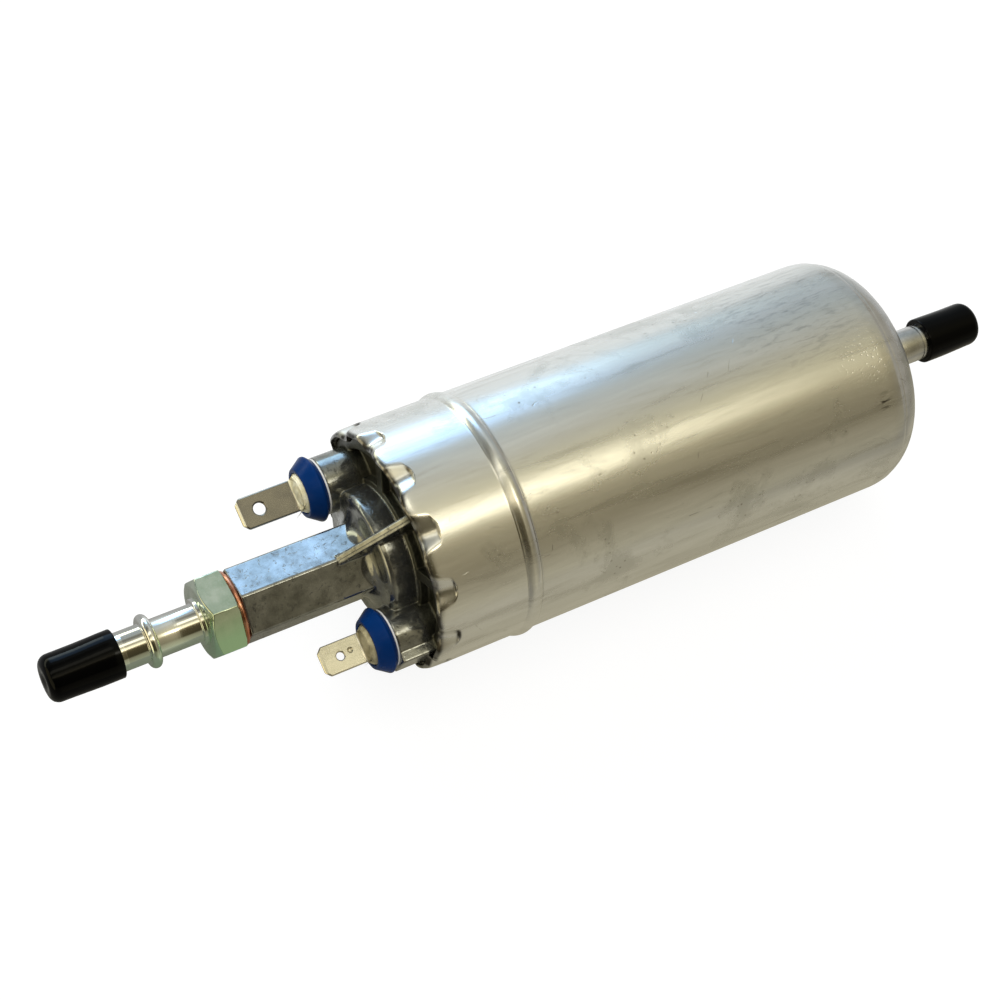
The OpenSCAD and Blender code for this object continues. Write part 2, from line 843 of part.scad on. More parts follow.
// Profile of the wound end turns, with rounded edges, from station x1 to x2
module end_turns(x1, x2) {
    round_r = (x2 - x1) / 2;
    band(shaft_r + 3 + round_r, core_r - 1 - round_r, x1, x2);
    for (r = [shaft_r + 3 + round_r, core_r - 1 - round_r])
        translate([r, x1 + round_r]) circle(r = round_r);
}

module armature_windings() {
    color("firebrick") {
        turned() {
            end_turns(core_x - end_turn, core_x);
            end_turns(core_back, core_back + end_turn);
        }
        round_x(slot_count, 0) translate([0, slot_pitch_r, 0])
            rod(core_x - 1, core_back + 1, slot_r - 0.1);
    }
}

module commutator() {
    back = commutator_x + commutator_len;
    color("orange") difference() {
        union() {
            tube(commutator_x, back, commutator_r, shaft_r + seat_gap);
            tube(back - 1.2, back, commutator_r + 1, shaft_r + seat_gap);
        }
        round_x(slot_count, 180 / slot_count)
            translate([commutator_x - over, commutator_r - 0.9, -0.25])
                cube([commutator_len + 2 * over, 3, 0.5]);
    }
}

module thrust_washers() {
    color("ivory") {
        tube(cover_back + 0.15, cover_back + 0.15 + washer_t, washer_r, shaft_r + seat_gap);
        tube(bearing_x - 0.15 - washer_t, bearing_x - 0.15, washer_r, shaft_r + seat_gap);
    }
}

module drive_coupling() {
    color("ivory") {
        difference() {
            rod(coupling_x, coupling_x + coupling_t, coupling_r);
            difference() {
                rod(coupling_x - over, coupling_x + coupling_t + over, shaft_r + seat_gap);
                translate([coupling_x - 2 * over, shaft_r - flat_depth + seat_gap, -shaft_d])
                    cube([coupling_t + 4 * over, shaft_d, 2 * shaft_d]);
            }
        }
        round_x(prong_count, 45) translate([0, prong_pitch_r, 0])
            rod(coupling_x + coupling_t - eps, coupling_x + coupling_t + prong_len, prong_r);
    }
}

// Screw holes through one plate of the pump set
module screw_holes(x1, x2, r) {
    round_x(screw_count, 45) translate([0, screw_pitch_r, 0]) rod(x1 - over, x2 + over, r);
}

// Curved port on one side of the pump set, at angle at from +Y
module kidney(at, x1, x2) {
    arc_x(at, kidney_arc) band(kidney_in, kidney_out, x1 - over, x2 + over);
}

module bearing_plate() {
    color("darkgray") difference() {
        rod(bearing_x, rotor_x, ring_r);
        rod(bearing_x - over, rotor_x, bush_r + seat_gap);
        rod(rotor_x - coupling_well, rotor_x + over, coupling_r + 0.3);
        kidney(0, bearing_x, rotor_x);
        screw_holes(bearing_x, rotor_x, screw_r + seat_gap);
        translate([0, 0, relief_z]) rod(bearing_x - over, rotor_x + over, relief_hole_r);
    }
}

module pump_ring() {
    color("gray") difference() {
        rod(rotor_x, rotor_back, ring_r);
        translate([0, 0, rotor_shift]) rod(rotor_x - over, rotor_back + over, ring_bore);
        screw_holes(rotor_x, rotor_back, screw_r + seat_gap);
        translate([0, 0, relief_z]) rod(rotor_x - over, rotor_back + over, relief_hole_r);
    }
}

// Toothed outline of the inner rotor: the path that stays clear of the outer rotor's lobes
function rotor_outline(steps) =
    let (lobes = teeth + 1, r = lobe_r + mesh_gap)
    [for (i = [0 : steps - 1])
        let (a = 360 * i / steps,
             lean = atan2(sin((1 - lobes) * a),
                          lobe_pitch / (rotor_shift * lobes) - cos((1 - lobes) * a)))
        [lobe_pitch * cos(a) - r * cos(a + lean) - rotor_shift * cos(lobes * a),
         -lobe_pitch * sin(a) + r * sin(a + lean) + rotor_shift * sin(lobes * a)]];

module inner_rotor() {
    color("silver") difference() {
        along_x(rotor_x + face_gap) linear_extrude(rotor_t - 2 * face_gap)
            polygon(rotor_outline(teeth * 24));
        rod(rotor_x - over, rotor_back + over, pin_r + run_gap);
        round_x(prong_count, 45) translate([0, prong_pitch_r, 0])
            rod(rotor_x - over, rotor_x + prong_len + 0.5, prong_r + 0.1);
    }
}

module outer_rotor() {
    lobes = teeth + 1;
    color("lightgray") translate([0, 0, rotor_shift])
        along_x(rotor_x + face_gap) linear_extrude(rotor_t - 2 * face_gap) difference() {
            circle(r = outer_rotor_r);
            difference() {
                circle(r = root_r);
                for (i = [0 : lobes - 1]) rotate(i * 360 / lobes)
                    translate([lobe_pitch, 0]) circle(r = lobe_r);
            }
        }
}

module rotor_pin() {
    color("dimgray") rod(rotor_x + 0.4, rotor_x + 0.4 + pin_len, pin_r);
}

module intake_plate() {
    color("darkgray") difference() {
        union() {
            rod(intake_x, intake_back, ring_r);
            tube(intake_back - eps, skirt_end, ring_r, ring_r - skirt_wall);
            translate([0, 0, relief_z]) rod(intake_back - eps, relief_end, relief_boss_r);
        }
        rod(intake_x - over, rotor_x + 0.4 + pin_len, pin_r + seat_gap);
        kidney(180, intake_x, intake_back);
        round_x(screw_count, 45) translate([0, screw_pitch_r, 0])
            rod(intake_x - over, intake_back + over, screw_r + seat_gap);
        translate([0, 0, relief_z]) {
            rod(intake_x - over, relief_seat_x + eps, relief_hole_r);
            rod(relief_seat_x, relief_end + over, relief_bore_r);
        }
    }
}

module pump_screws() {
    color("silver") round_x(screw_count, 45) translate([0, screw_pitch_r, 0]) {
        rod(bearing_x + 1, intake_back + eps, screw_r);
        difference() {
            rod(intake_back, intake_back + screw_head_t, screw_head_r);
            along_x(intake_back + 0.8) cylinder(h = screw_head_t, r = 1.4, $fn = 6);
        }
    }
}

module relief_ball() {
    color("silver") translate([ball_x, 0, relief_z]) sphere(r = ball_r);
}

module relief_spring() {
    start = ball_x + ball_r + 0.05;
    color("gray") translate([0, 0, relief_z]) along_x(start)
        coil(1.7, relief_end - retainer_t - start - 0.05, 4, 0.25);
}

module relief_retainer() {
    color("gold") translate([0, 0, relief_z])
        tube(relief_end - retainer_t, relief_end, relief_bore_r - seat_gap, 1.2);
}

module check_valve() {
    head_x = valve_x - valve_head_t;
    color("darkred") {
        rod(head_x, valve_x, valve_head_r);
        rod(head_x - 2.4, head_x + eps, 1.9);
        rod(valve_x - eps, valve_x + 4.6, 1);
        round_x(3, 30) translate([valve_x - eps, 0, -0.5])
            cube([4.6, valve_guide_r - 0.1, 1]);
    }
}

module check_spring() {
    start = boss_x + thread_len + 0.05;
    len = valve_x - valve_head_t - start - 0.05;
    color("gray") along_x(start) coil(2.75, len, 6, 0.3);
}

module inlet_strainer() {
    front = inner_face_x - strainer_len;
    color("whitesmoke") difference() {
        union() {
            tube(front, inner_face_x - 0.05, strainer_r, strainer_r - strainer_wall);
            rod(front, front + strainer_floor, strainer_r - strainer_wall + eps);
        }
        for (ring = [0 : 3]) round_x(max(1, 6 * ring), 0)
            translate([0, ring * 2.05, 0])
                rod(front - over, front + strainer_floor + over, strainer_hole_r);
        round_x(6, 30) translate([front + strainer_floor + 1, strainer_r - 3, -1.6])
            cube([strainer_len - 3.4, 4, 3.2]);
    }
}

// Push-on cap, drawn along Z with its rim at 0 and its closed end up
module cap(len) {
    cap_out = cap_in + cap_wall;
    rotate_extrude() difference() {
        union() {
            polygon([[0, 0], [cap_out + cap_taper - 0.15, 0], [cap_out + cap_taper, 0.15],
                     [cap_out, len - cap_round], [cap_out - cap_round, len], [0, len]]);
            intersection() {
                translate([cap_out - cap_round, len - cap_round]) circle(r = cap_round);
                band(0, cap_out, len - cap_round, len);
            }
        }
        band(-over, cap_in, -over, len - cap_tip);
        band(-over, 0, -over, len + over);
    }
}

module inlet_cap() {
    color("black") along_x(inlet_cap_rim) cap(inlet_cap_len);
}

module outlet_cap() {
    color("black") mirror([1, 0, 0]) along_x(-outlet_cap_rim) cap(outlet_cap_len);
}

housing();
inlet_pipe();
front_cover();
cover_seal();
outlet_fitting();
sealing_washer();
wide_terminal();
narrow_terminal();
wide_insulator();
narrow_insulator();
fibre_washers();
brush_holder();
brush_tubes();
upper_brush();
lower_brush();
upper_brush_spring();
lower_brush_spring();
upper_magnet();
lower_magnet();
magnet_clips();
flux_ring();
front_bush();
rear_bush();
armature_shaft();
armature_core();
armature_windings();
commutator();
thrust_washers();
drive_coupling();
bearing_plate();
pump_ring();
inner_rotor();
outer_rotor();
rotor_pin();
intake_plate();
pump_screws();
relief_ball();
relief_spring();
relief_retainer();
check_valve();
check_spring();
inlet_strainer();
inlet_cap();
outlet_cap();
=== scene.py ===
import json
import math

import bmesh
import bpy
import numpy as np
from mathutils import Matrix, Vector


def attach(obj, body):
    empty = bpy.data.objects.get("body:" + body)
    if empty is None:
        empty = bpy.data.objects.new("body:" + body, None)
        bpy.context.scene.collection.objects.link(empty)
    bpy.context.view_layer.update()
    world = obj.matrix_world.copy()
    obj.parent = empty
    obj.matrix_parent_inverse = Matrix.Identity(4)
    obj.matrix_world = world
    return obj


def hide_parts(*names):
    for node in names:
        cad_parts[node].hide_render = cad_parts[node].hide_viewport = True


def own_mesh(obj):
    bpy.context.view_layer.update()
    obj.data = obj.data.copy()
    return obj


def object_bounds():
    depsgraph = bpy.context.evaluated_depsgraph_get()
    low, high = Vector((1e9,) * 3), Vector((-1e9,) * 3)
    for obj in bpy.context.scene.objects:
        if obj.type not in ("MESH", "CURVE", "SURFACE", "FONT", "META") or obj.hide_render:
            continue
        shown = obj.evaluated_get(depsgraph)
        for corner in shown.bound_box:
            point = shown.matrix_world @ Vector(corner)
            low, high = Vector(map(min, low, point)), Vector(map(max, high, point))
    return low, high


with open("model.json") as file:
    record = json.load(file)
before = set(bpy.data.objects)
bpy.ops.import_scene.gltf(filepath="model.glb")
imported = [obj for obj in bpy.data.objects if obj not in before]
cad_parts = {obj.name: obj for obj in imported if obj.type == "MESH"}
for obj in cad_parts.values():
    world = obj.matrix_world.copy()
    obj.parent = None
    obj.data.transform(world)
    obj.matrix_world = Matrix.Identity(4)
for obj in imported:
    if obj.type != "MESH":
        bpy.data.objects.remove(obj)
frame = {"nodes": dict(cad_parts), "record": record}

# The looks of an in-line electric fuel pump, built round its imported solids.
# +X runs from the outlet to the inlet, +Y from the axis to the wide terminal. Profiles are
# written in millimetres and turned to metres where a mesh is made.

CAD_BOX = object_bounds()
NODES = frame["nodes"]
MM = 0.001

# Stations along the pump, in millimetres
LIP = -65.0
BEAD = -44.0
SHOULDER = 44.0
END_FACE = 55.0
INSULATOR_FRONT = -76.25
INSULATOR_BACK = -72.25
COVER_BACK = -57.0

# Radii of the can's wall and of both spigots, and the terminals' distance from the axis
CAN_R = 26.0
CAN_IN = 24.5
SPIGOT_R = 4.0
TERMINAL_Y = 16.95

# The fitting's hexagon starts where the fitting first gets wider than its spigot's collar
FITTING_POINTS = [vertex.co for vertex in NODES["outlet_fitting"].data.vertices]
HEXAGON_FRONT = min(p.x for p in FITTING_POINTS if math.hypot(p.y, p.z) > 7.5 * MM) / MM


# Helpers

def linear(code):
    """Linear RGBA of an sRGB hex colour."""
    parts = [int(code[i:i + 2], 16) / 255 for i in (1, 3, 5)]
    return tuple(c / 12.92 if c <= 0.04045 else ((c + 0.055) / 1.055) ** 2.4
                 for c in parts) + (1.0,)


def add(tree, kind, values=None, stops=None, **settings):
    """Adds a node. values holds constants and links, by the name or number of the input.
    stops holds the places and the linear colours of a colour ramp."""
    made = tree.nodes.new(kind)
    for name, setting in settings.items():
        setattr(made, name, setting)
    for key, value in (values or {}).items():
        if isinstance(value, bpy.types.NodeSocket):
            tree.links.new(value, made.inputs[key])
        else:
            made.inputs[key].default_value = value
    if stops:
        points = made.color_ramp.elements
        for spot, colour in stops[1:-1]:
            points.new(spot).color = colour
        points[0].position, points[0].color = stops[0]
        points[len(stops) - 1].position, points[len(stops) - 1].color = stops[-1]
    return made


def new_material(name):
    """Material with a Principled shader. Gives the material, its tree, the shader and the
    Object coordinates."""
    material = bpy.data.materials.new(name)
    material.use_nodes = True
    tree = material.node_tree
    shader = tree.nodes["Principled BSDF"]
    where = add(tree, "ShaderNodeTexCoord").outputs["Object"]
    return material, tree, shader, where


def grey(value):
    """Grey of a given linear level, for ramps that drive a number."""
    return (value, value, value, 1.0)


def mesh_object(name, points, faces):
    """Smooth-shaded object from points in millimetres."""
    mesh = bpy.data.meshes.new(name)
    mesh.from_pydata([tuple(p) for p in np.asarray(points, float) * MM], [], faces)
    mesh.validate()
    made = bpy.data.objects.new(name, mesh)
    bpy.context.scene.collection.objects.link(made)
    finish_mesh(mesh)
    return made


def finish_mesh(mesh, sharp=35.0, flats=False):
    """Merges doubles, turns the faces outwards and shades the mesh smooth up to sharp. With
    flats, broad faces and faces that meet all their neighbours at an angle stay flat."""
    work = bmesh.new()
    work.from_mesh(mesh)
    bmesh.ops.remove_doubles(work, verts=work.verts, dist=1e-6)
    bmesh.ops.recalc_face_normals(work, faces=work.faces)
    for face in work.faces:
        turns = [math.degrees(edge.calc_face_angle(0.0)) for edge in face.edges]
        broad = face.calc_area() > max(5e-6, 0.02 * face.calc_perimeter() ** 2)
        face.smooth = not flats or (not broad and any(0.5 < turn < 15 for turn in turns))
    limit = math.radians(sharp)
    for edge in work.edges:
        edge.smooth = not (len(edge.link_faces) == 2 and edge.calc_face_angle(0.0) > limit)
    work.to_mesh(mesh)
    work.free()


def lathe(name, profile, steps, centre=(0.0, 0.0), bend=None):
    """Turns a closed profile of (station, radius) round an axis along X. bend moves the
    points: it takes and gives stations, radii and angles."""
    profile = np.asarray(profile, float)
    count = len(profile)
    angles = np.arange(steps) * 2 * math.pi / steps
    x = np.repeat(profile[None, :, 0], steps, 0)
    r = np.repeat(profile[None, :, 1], steps, 0)
    a = np.repeat(angles[:, None], count, 1)
    if bend:
        x, r = bend(x, r, a)
    y = centre[0] + r * np.cos(a)
    z = centre[1] + r * np.sin(a)
    points = np.stack([x, y, z], -1).reshape(-1, 3)
    i = np.arange(steps)[:, None] * count
    j = np.arange(count)[None, :]
    i2, j2 = (i + count) % (steps * count), (j + 1) % count
    faces = np.stack([i + j, i + j2, i2 + j2, i2 + j], -1).reshape(-1, 4)
    keep = [tuple(f) for f in faces.tolist()]
    return mesh_object(name, points, keep)


def arc(centre_x, centre_r, radius, start, end, steps):
    """Points of an arc in a turned profile. Angles are in degrees from +X towards +R."""
    t = np.radians(np.linspace(start, end, steps))
    return [(centre_x + radius * math.cos(v), centre_r + radius * math.sin(v)) for v in t]


def baked(made):
    """Plain mesh of an object with its modifiers applied."""
    graph = bpy.context.evaluated_depsgraph_get()
    mesh = bpy.data.meshes.new_from_object(made.evaluated_get(graph))
    made.modifiers.clear()
    made.data = mesh
    return made


def copy_of(node, name):
    """Loose copy of a CAD node, its doubles merged and its flat faces joined up."""
    mesh = NODES[node].data.copy()
    mesh.name = name
    made = bpy.data.objects.new(name, mesh)
    bpy.context.scene.collection.objects.link(made)
    work = bmesh.new()
    work.from_mesh(mesh)
    bmesh.ops.remove_doubles(work, verts=work.verts, dist=2e-6)
    bmesh.ops.dissolve_limit(work, angle_limit=math.radians(0.4), verts=work.verts,
                             edges=work.edges)
    work.to_mesh(mesh)
    work.free()
    return made


def eased(node, name, width, segments=2):
    """Copy of a CAD node with its sharp edges eased to a width in millimetres."""
    made = copy_of(node, name)
    bevel = made.modifiers.new("ease", "BEVEL")
    bevel.width = width * MM
    bevel.segments = segments
    bevel.limit_method = "ANGLE"
    bevel.angle_limit = math.radians(28)
    bevel.use_clamp_overlap = False
    baked(made)
    finish_mesh(made.data, 50, flats=True)
    return made


def joined(made, other):
    """Takes the mesh of another object into this one and removes the other."""
    work = bmesh.new()
    work.from_mesh(made.data)
    work.from_mesh(other.data)
    work.to_mesh(made.data)
    work.free()
    bpy.data.objects.remove(other)
    return made


def place(made, body, node, material):
    """Gives a finished piece its finish and its body, and hides the CAD node that it stands for.
    """
    made.data.materials.clear()
    made.data.materials.append(material)
    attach(made, body)
    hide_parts(node)
    return made


# Finishes

def around(tree, where, centre, full, gone):
    """Mask that is 1 within full millimetres of a point and 0 beyond gone millimetres."""
    middle = tuple(v * MM for v in centre)
    apart = add(tree, "ShaderNodeVectorMath", {0: where, 1: middle}, operation="DISTANCE")
    mask = add(tree, "ShaderNodeMapRange", {"Value": apart.outputs["Value"],
               "From Min": full * MM, "From Max": gone * MM, "To Min": 1.0, "To Max": 0.0},
               interpolation_type="SMOOTHSTEP")
    return mask.outputs[0]


def can_wear(tree, where):
    """Masks of the can's wear: its rubbed patches, its scratches and pits, and a fine
    pattern that breaks up the scratches and the painted shade."""
    # rubbed patches 15 mm across, broken up finely at their edges
    patch = add(tree, "ShaderNodeTexNoise", {"Vector": where, "Scale": 60.0, "Detail": 8.0,
                "Roughness": 0.66, "Distortion": 0.3})
    wear_and_sheen = add(tree, "ShaderNodeMapRange", {"Value": patch.outputs[0], "From Min": 0.54,
               "From Max": 0.63})
    # hair scratches: thin level lines of a slow noise, kept in places only
    sweep = add(tree, "ShaderNodeTexNoise", {"Vector": where, "Scale": 75.0, "Detail": 0.0,
                "Distortion": 0.3})
    middle = add(tree, "ShaderNodeMath", {0: sweep.outputs[0], 1: 0.53}, operation="SUBTRACT")
    apart = add(tree, "ShaderNodeMath", {0: middle.outputs[0]}, operation="ABSOLUTE")
    hair = add(tree, "ShaderNodeMapRange", {"Value": apart.outputs[0], "From Min": 0.0,
               "From Max": 0.003, "To Min": 1.0, "To Max": 0.0})
    broken = add(tree, "ShaderNodeTexNoise", {"Vector": where, "Scale": 420.0, "Detail": 2.0})
    kept = add(tree, "ShaderNodeMapRange", {"Value": broken.outputs[0], "From Min": 0.58,
               "From Max": 0.64, "To Max": 0.8})
    scratch = add(tree, "ShaderNodeMath", {0: hair.outputs[0], 1: kept.outputs[0]},
                  operation="MULTIPLY")
    # pits 0.4 mm across, gathered in the rubbed patches
    cell = add(tree, "ShaderNodeTexVoronoi", {"Vector": where, "Scale": 620.0})
    hole = add(tree, "ShaderNodeMapRange", {"Value": cell.outputs["Distance"],
               "From Min": 0.1, "From Max": 0.2, "To Min": 1.0, "To Max": 0.0})
    pit = add(tree, "ShaderNodeMath", {0: hole.outputs[0], 1: wear_and_sheen.outputs[0]},
              operation="MULTIPLY")
    mark = add(tree, "ShaderNodeMath", {0: scratch.outputs[0], 1: pit.outputs[0]},
               operation="MAXIMUM")
    return wear_and_sheen.outputs[0], mark.outputs[0], broken.outputs[0]


def can_tone(tree, where, smudge, wear_and_sheen, mark, broken):
    """Colour of the can: pale smudges, dulled patches, handling marks, scratches, and
    painted shade in the dents' corners and round the lip.
    """
    base = add(tree, "ShaderNodeValToRGB", {"Fac": smudge},
               [(0.28, linear("#cbc9c3")), (0.44, linear("#e2e1dd")), (0.66, linear("#ebeae7"))])
    dulled = add(tree, "ShaderNodeMix", {0: wear_and_sheen, 6: base.outputs[0], 7: linear("#d3d2cd")},
                 data_type="RGBA")
    # dark streaks 4 mm long and 1 mm wide near the closed end, and one smear among them
    streak_at = add(tree, "ShaderNodeMapping", {"Vector": where, "Scale": (240, 1000, 1000)})
    streak = add(tree, "ShaderNodeTexNoise", {"Vector": streak_at.outputs[0], "Scale": 1.0,
                 "Detail": 7.0, "Roughness": 0.7, "Distortion": 0.5})
    streaked = add(tree, "ShaderNodeMapRange", {"Value": streak.outputs[0], "From Min": 0.5,
                   "From Max": 0.68, "To Max": 0.6})
    rubbed = add(tree, "ShaderNodeMath", {0: streaked.outputs[0],
                 1: around(tree, where, (30, 14, 22), 9, 21)}, operation="MULTIPLY")
    rubbed_tone = add(tree, "ShaderNodeMix", {0: rubbed.outputs[0], 6: dulled.outputs[2],
                      7: linear("#a5a6a6")}, data_type="RGBA")
    scribble = add(tree, "ShaderNodeMapRange", {"Value": streak.outputs[0], "From Min": 0.5,
                   "From Max": 0.56})
    smeared = add(tree, "ShaderNodeMath", {0: scribble.outputs[0],
                  1: around(tree, where, (42, -13.2, 22.4), 0.2, 2.8)}, operation="MULTIPLY")
    smeared_tone = add(tree, "ShaderNodeMix", {0: smeared.outputs[0],
                       6: rubbed_tone.outputs[2], 7: linear("#5a554c")}, data_type="RGBA")
    scored = add(tree, "ShaderNodeMix", {0: mark, 6: smeared_tone.outputs[2],
                 7: linear("#a29e96")}, data_type="RGBA")
    # painted shade in the dents' corners and round the curled lip, broken up in spots
    painted_shade = add(tree, "ShaderNodeAttribute", attribute_name="painted_shade").outputs["Fac"]
    through = add(tree, "ShaderNodeMapRange", {"Value": broken, "From Min": 0.45,
                  "From Max": 0.62, "To Min": 1.0, "To Max": 0.55})
    shaded = add(tree, "ShaderNodeMath", {0: painted_shade, 1: through.outputs[0]}, operation="MULTIPLY")
    marked = add(tree, "ShaderNodeMix", {0: shaded.outputs[0], 6: scored.outputs[2],
                 7: linear("#2c271d")}, data_type="RGBA")
    return marked.outputs[2]


def can_gloss(tree, smudge, wear_and_sheen, end):
    """Roughness of the can: satin, duller where it is rubbed, punched or near its end."""
    satin = add(tree, "ShaderNodeMapRange", {"Value": smudge, "From Min": 0.3,
                "From Max": 0.7, "To Min": 0.29, "To Max": 0.2})
    rough = add(tree, "ShaderNodeMath", {0: wear_and_sheen, 1: 0.06, 2: satin.outputs[0]},
                operation="MULTIPLY_ADD")
    punched = add(tree, "ShaderNodeAttribute", attribute_name="punched").outputs["Fac"]
    struck = add(tree, "ShaderNodeMath", {0: punched, 1: 0.06, 2: rough.outputs[0]},
                 operation="MULTIPLY_ADD")
    dull = add(tree, "ShaderNodeMath", {0: end, 1: 0.1, 2: struck.outputs[0]},
               operation="MULTIPLY_ADD")
    return dull.outputs[0]


def can_skin(tree, where, wear_and_sheen, mark, end):
    """Unevenness of the can: waves from the drawing, a fine grain, small pits and marks."""
    calm = add(tree, "ShaderNodeMapRange", {"Value": end, "To Min": 1.0, "To Max": 0.3})
    # shallow waves 12 mm across, left by the drawing, and a fine unevenness on the patches
    wave_at = add(tree, "ShaderNodeMapping", {"Vector": where, "Scale": (38, 85, 85)})
    wave = add(tree, "ShaderNodeTexNoise", {"Vector": wave_at.outputs[0], "Scale": 1.0,
               "Detail": 1.0, "Roughness": 0.4})
    waves = add(tree, "ShaderNodeBump", {"Height": wave.outputs[0], "Distance": 0.0001,
                "Strength": calm.outputs[0]})
    grain_at = add(tree, "ShaderNodeMapping", {"Vector": where, "Scale": (260, 520, 520)})
    grain = add(tree, "ShaderNodeTexNoise", {"Vector": grain_at.outputs[0], "Scale": 1.0,
                "Detail": 5.0, "Roughness": 0.6})
    rough_skin = add(tree, "ShaderNodeMapRange", {"Value": wear_and_sheen, "To Min": 0.3, "To Max": 0.7})
    grains = add(tree, "ShaderNodeBump", {"Height": grain.outputs[0], "Distance": 0.00003,
                 "Strength": rough_skin.outputs[0], "Normal": waves.outputs[0]})
    # a patch of small bright pits, 0.3 mm across, beside the closed end
    cell = add(tree, "ShaderNodeTexVoronoi", {"Vector": where, "Scale": 1250.0})
    pitted = add(tree, "ShaderNodeMapRange", {"Value": cell.outputs["Distance"],
                 "From Min": 0.08, "From Max": 0.32, "To Min": 1.0, "To Max": 0.0},
                 interpolation_type="SMOOTHSTEP")
    pits = add(tree, "ShaderNodeBump", {"Height": pitted.outputs[0], "Distance": 0.000035,
               "Strength": around(tree, where, (42, -3, 25.8), 2, 11),
               "Normal": grains.outputs[0]}, invert=True)
    marks = add(tree, "ShaderNodeBump", {"Height": mark, "Distance": 0.00004,
                "Strength": 0.8, "Normal": pits.outputs[0]}, invert=True)
    return marks.outputs[0]


def drawn_aluminium():
    """Deep-drawn aluminium, unpainted: satin, with faint smudges along the axis, hair
    scratches, small pits and dull rubbed patches."""
    material, tree, shader, where = new_material("drawn_aluminium")
    # smudges some 30 mm long and 3 mm wide
    along = add(tree, "ShaderNodeMapping", {"Vector": where, "Scale": (34, 330, 330)})
    smudge = add(tree, "ShaderNodeTexNoise", {"Vector": along.outputs[0], "Scale": 1.0,
                 "Detail": 6.0, "Roughness": 0.62, "Distortion": 0.4}).outputs[0]
    parts = add(tree, "ShaderNodeSeparateXYZ", {"Vector": where})
    end = add(tree, "ShaderNodeMapRange", {"Value": parts.outputs["X"],
              "From Min": (END_FACE - 6.0) * MM,
              "From Max": (END_FACE - 1.0) * MM}).outputs[0]
    wear_and_sheen, mark, broken = can_wear(tree, where)
    tone = can_tone(tree, where, smudge, wear_and_sheen, mark, broken)
    tree.links.new(tone, shader.inputs["Base Color"])
    shader.inputs["Metallic"].default_value = 1.0
    tree.links.new(can_gloss(tree, smudge, wear_and_sheen, end), shader.inputs["Roughness"])
    tree.links.new(can_skin(tree, where, wear_and_sheen, mark, end), shader.inputs["Normal"])
    return material


def die_cast_zinc():
    """Die-cast zinc with its casting skin: grey and fairly glossy, mottled, with small dark
    specks, an uneven, pitted skin, and painted shade in the trough beside the can's lip."""
    material, tree, shader, where = new_material("die_cast_zinc")
    mottle = add(tree, "ShaderNodeTexNoise", {"Vector": where, "Scale": 420.0, "Detail": 5.0,
                 "Roughness": 0.62})
    cloud = add(tree, "ShaderNodeTexNoise", {"Vector": where, "Scale": 90.0, "Detail": 3.0})
    # specks 0.3 to 1 mm across
    fleck = add(tree, "ShaderNodeTexNoise", {"Vector": where, "Scale": 900.0, "Detail": 4.0,
                "Roughness": 0.7, "Distortion": 0.6})
    speck = add(tree, "ShaderNodeMapRange", {"Value": fleck.outputs[0], "From Min": 0.58,
                "From Max": 0.68, "To Max": 0.75})
    tone = add(tree, "ShaderNodeValToRGB", {"Fac": mottle.outputs[0]},
               [(0.32, linear("#8a8a86")), (0.5, linear("#9d9e9a")), (0.7, linear("#acadaa"))])
    shade = add(tree, "ShaderNodeValToRGB", {"Fac": cloud.outputs[0]},
                [(0.35, linear("#dcdcd8")), (0.65, linear("#ffffff"))])
    clear = add(tree, "ShaderNodeMix", {0: 1.0, 6: tone.outputs[0], 7: shade.outputs[0]},
                data_type="RGBA", blend_type="MULTIPLY")
    colour = add(tree, "ShaderNodeMix", {0: speck.outputs[0], 6: clear.outputs[2],
                 7: linear("#5c5c5a")}, data_type="RGBA")
    # painted shade in the trough beside the can's lip
    aside = add(tree, "ShaderNodeVectorMath", {0: where, 1: (0.0, 1.0, 1.0)},
                operation="MULTIPLY")
    off_axis = add(tree, "ShaderNodeVectorMath", {0: aside.outputs[0]}, operation="LENGTH")
    outer = add(tree, "ShaderNodeMapRange", {"Value": off_axis.outputs["Value"],
                "From Min": 13.6 * MM, "From Max": 14.6 * MM}, interpolation_type="SMOOTHSTEP")
    parts = add(tree, "ShaderNodeSeparateXYZ", {"Vector": where})
    low = add(tree, "ShaderNodeMapRange", {"Value": parts.outputs["X"], "From Min": -66.2 * MM,
              "From Max": -64.8 * MM})
    trough = add(tree, "ShaderNodeMath", {0: outer.outputs[0], 1: low.outputs[0]},
                 operation="MULTIPLY")
    trough_shade = add(tree, "ShaderNodeMix", {0: trough.outputs[0], 6: colour.outputs[2],
               7: linear("#55554c")}, data_type="RGBA")
    tree.links.new(trough_shade.outputs[2], shader.inputs["Base Color"])
    # the casting skin's dull film scatters a little light
    shader.inputs["Metallic"].default_value = 0.93
    rough = add(tree, "ShaderNodeMapRange", {"Value": mottle.outputs[0], "From Min": 0.3,
                "From Max": 0.7, "To Min": 0.22, "To Max": 0.12})
    rougher = add(tree, "ShaderNodeMath", {0: trough.outputs[0], 1: 0.2, 2: rough.outputs[0]},
                  operation="MULTIPLY_ADD")
    tree.links.new(rougher.outputs[0], shader.inputs["Roughness"])
    skin = add(tree, "ShaderNodeBump", {"Height": mottle.outputs[0], "Distance": 0.00007,
               "Strength": 0.5})
    lumps = add(tree, "ShaderNodeBump", {"Height": fleck.outputs[0], "Distance": 0.00018,
                "Strength": trough.outputs[0], "Normal": skin.outputs[0]})
    pitted = add(tree, "ShaderNodeBump", {"Height": speck.outputs[0], "Distance": 0.00004,
                 "Strength": 0.5, "Normal": lumps.outputs[0]}, invert=True)
    tree.links.new(pitted.outputs[0], shader.inputs["Normal"])
    return material


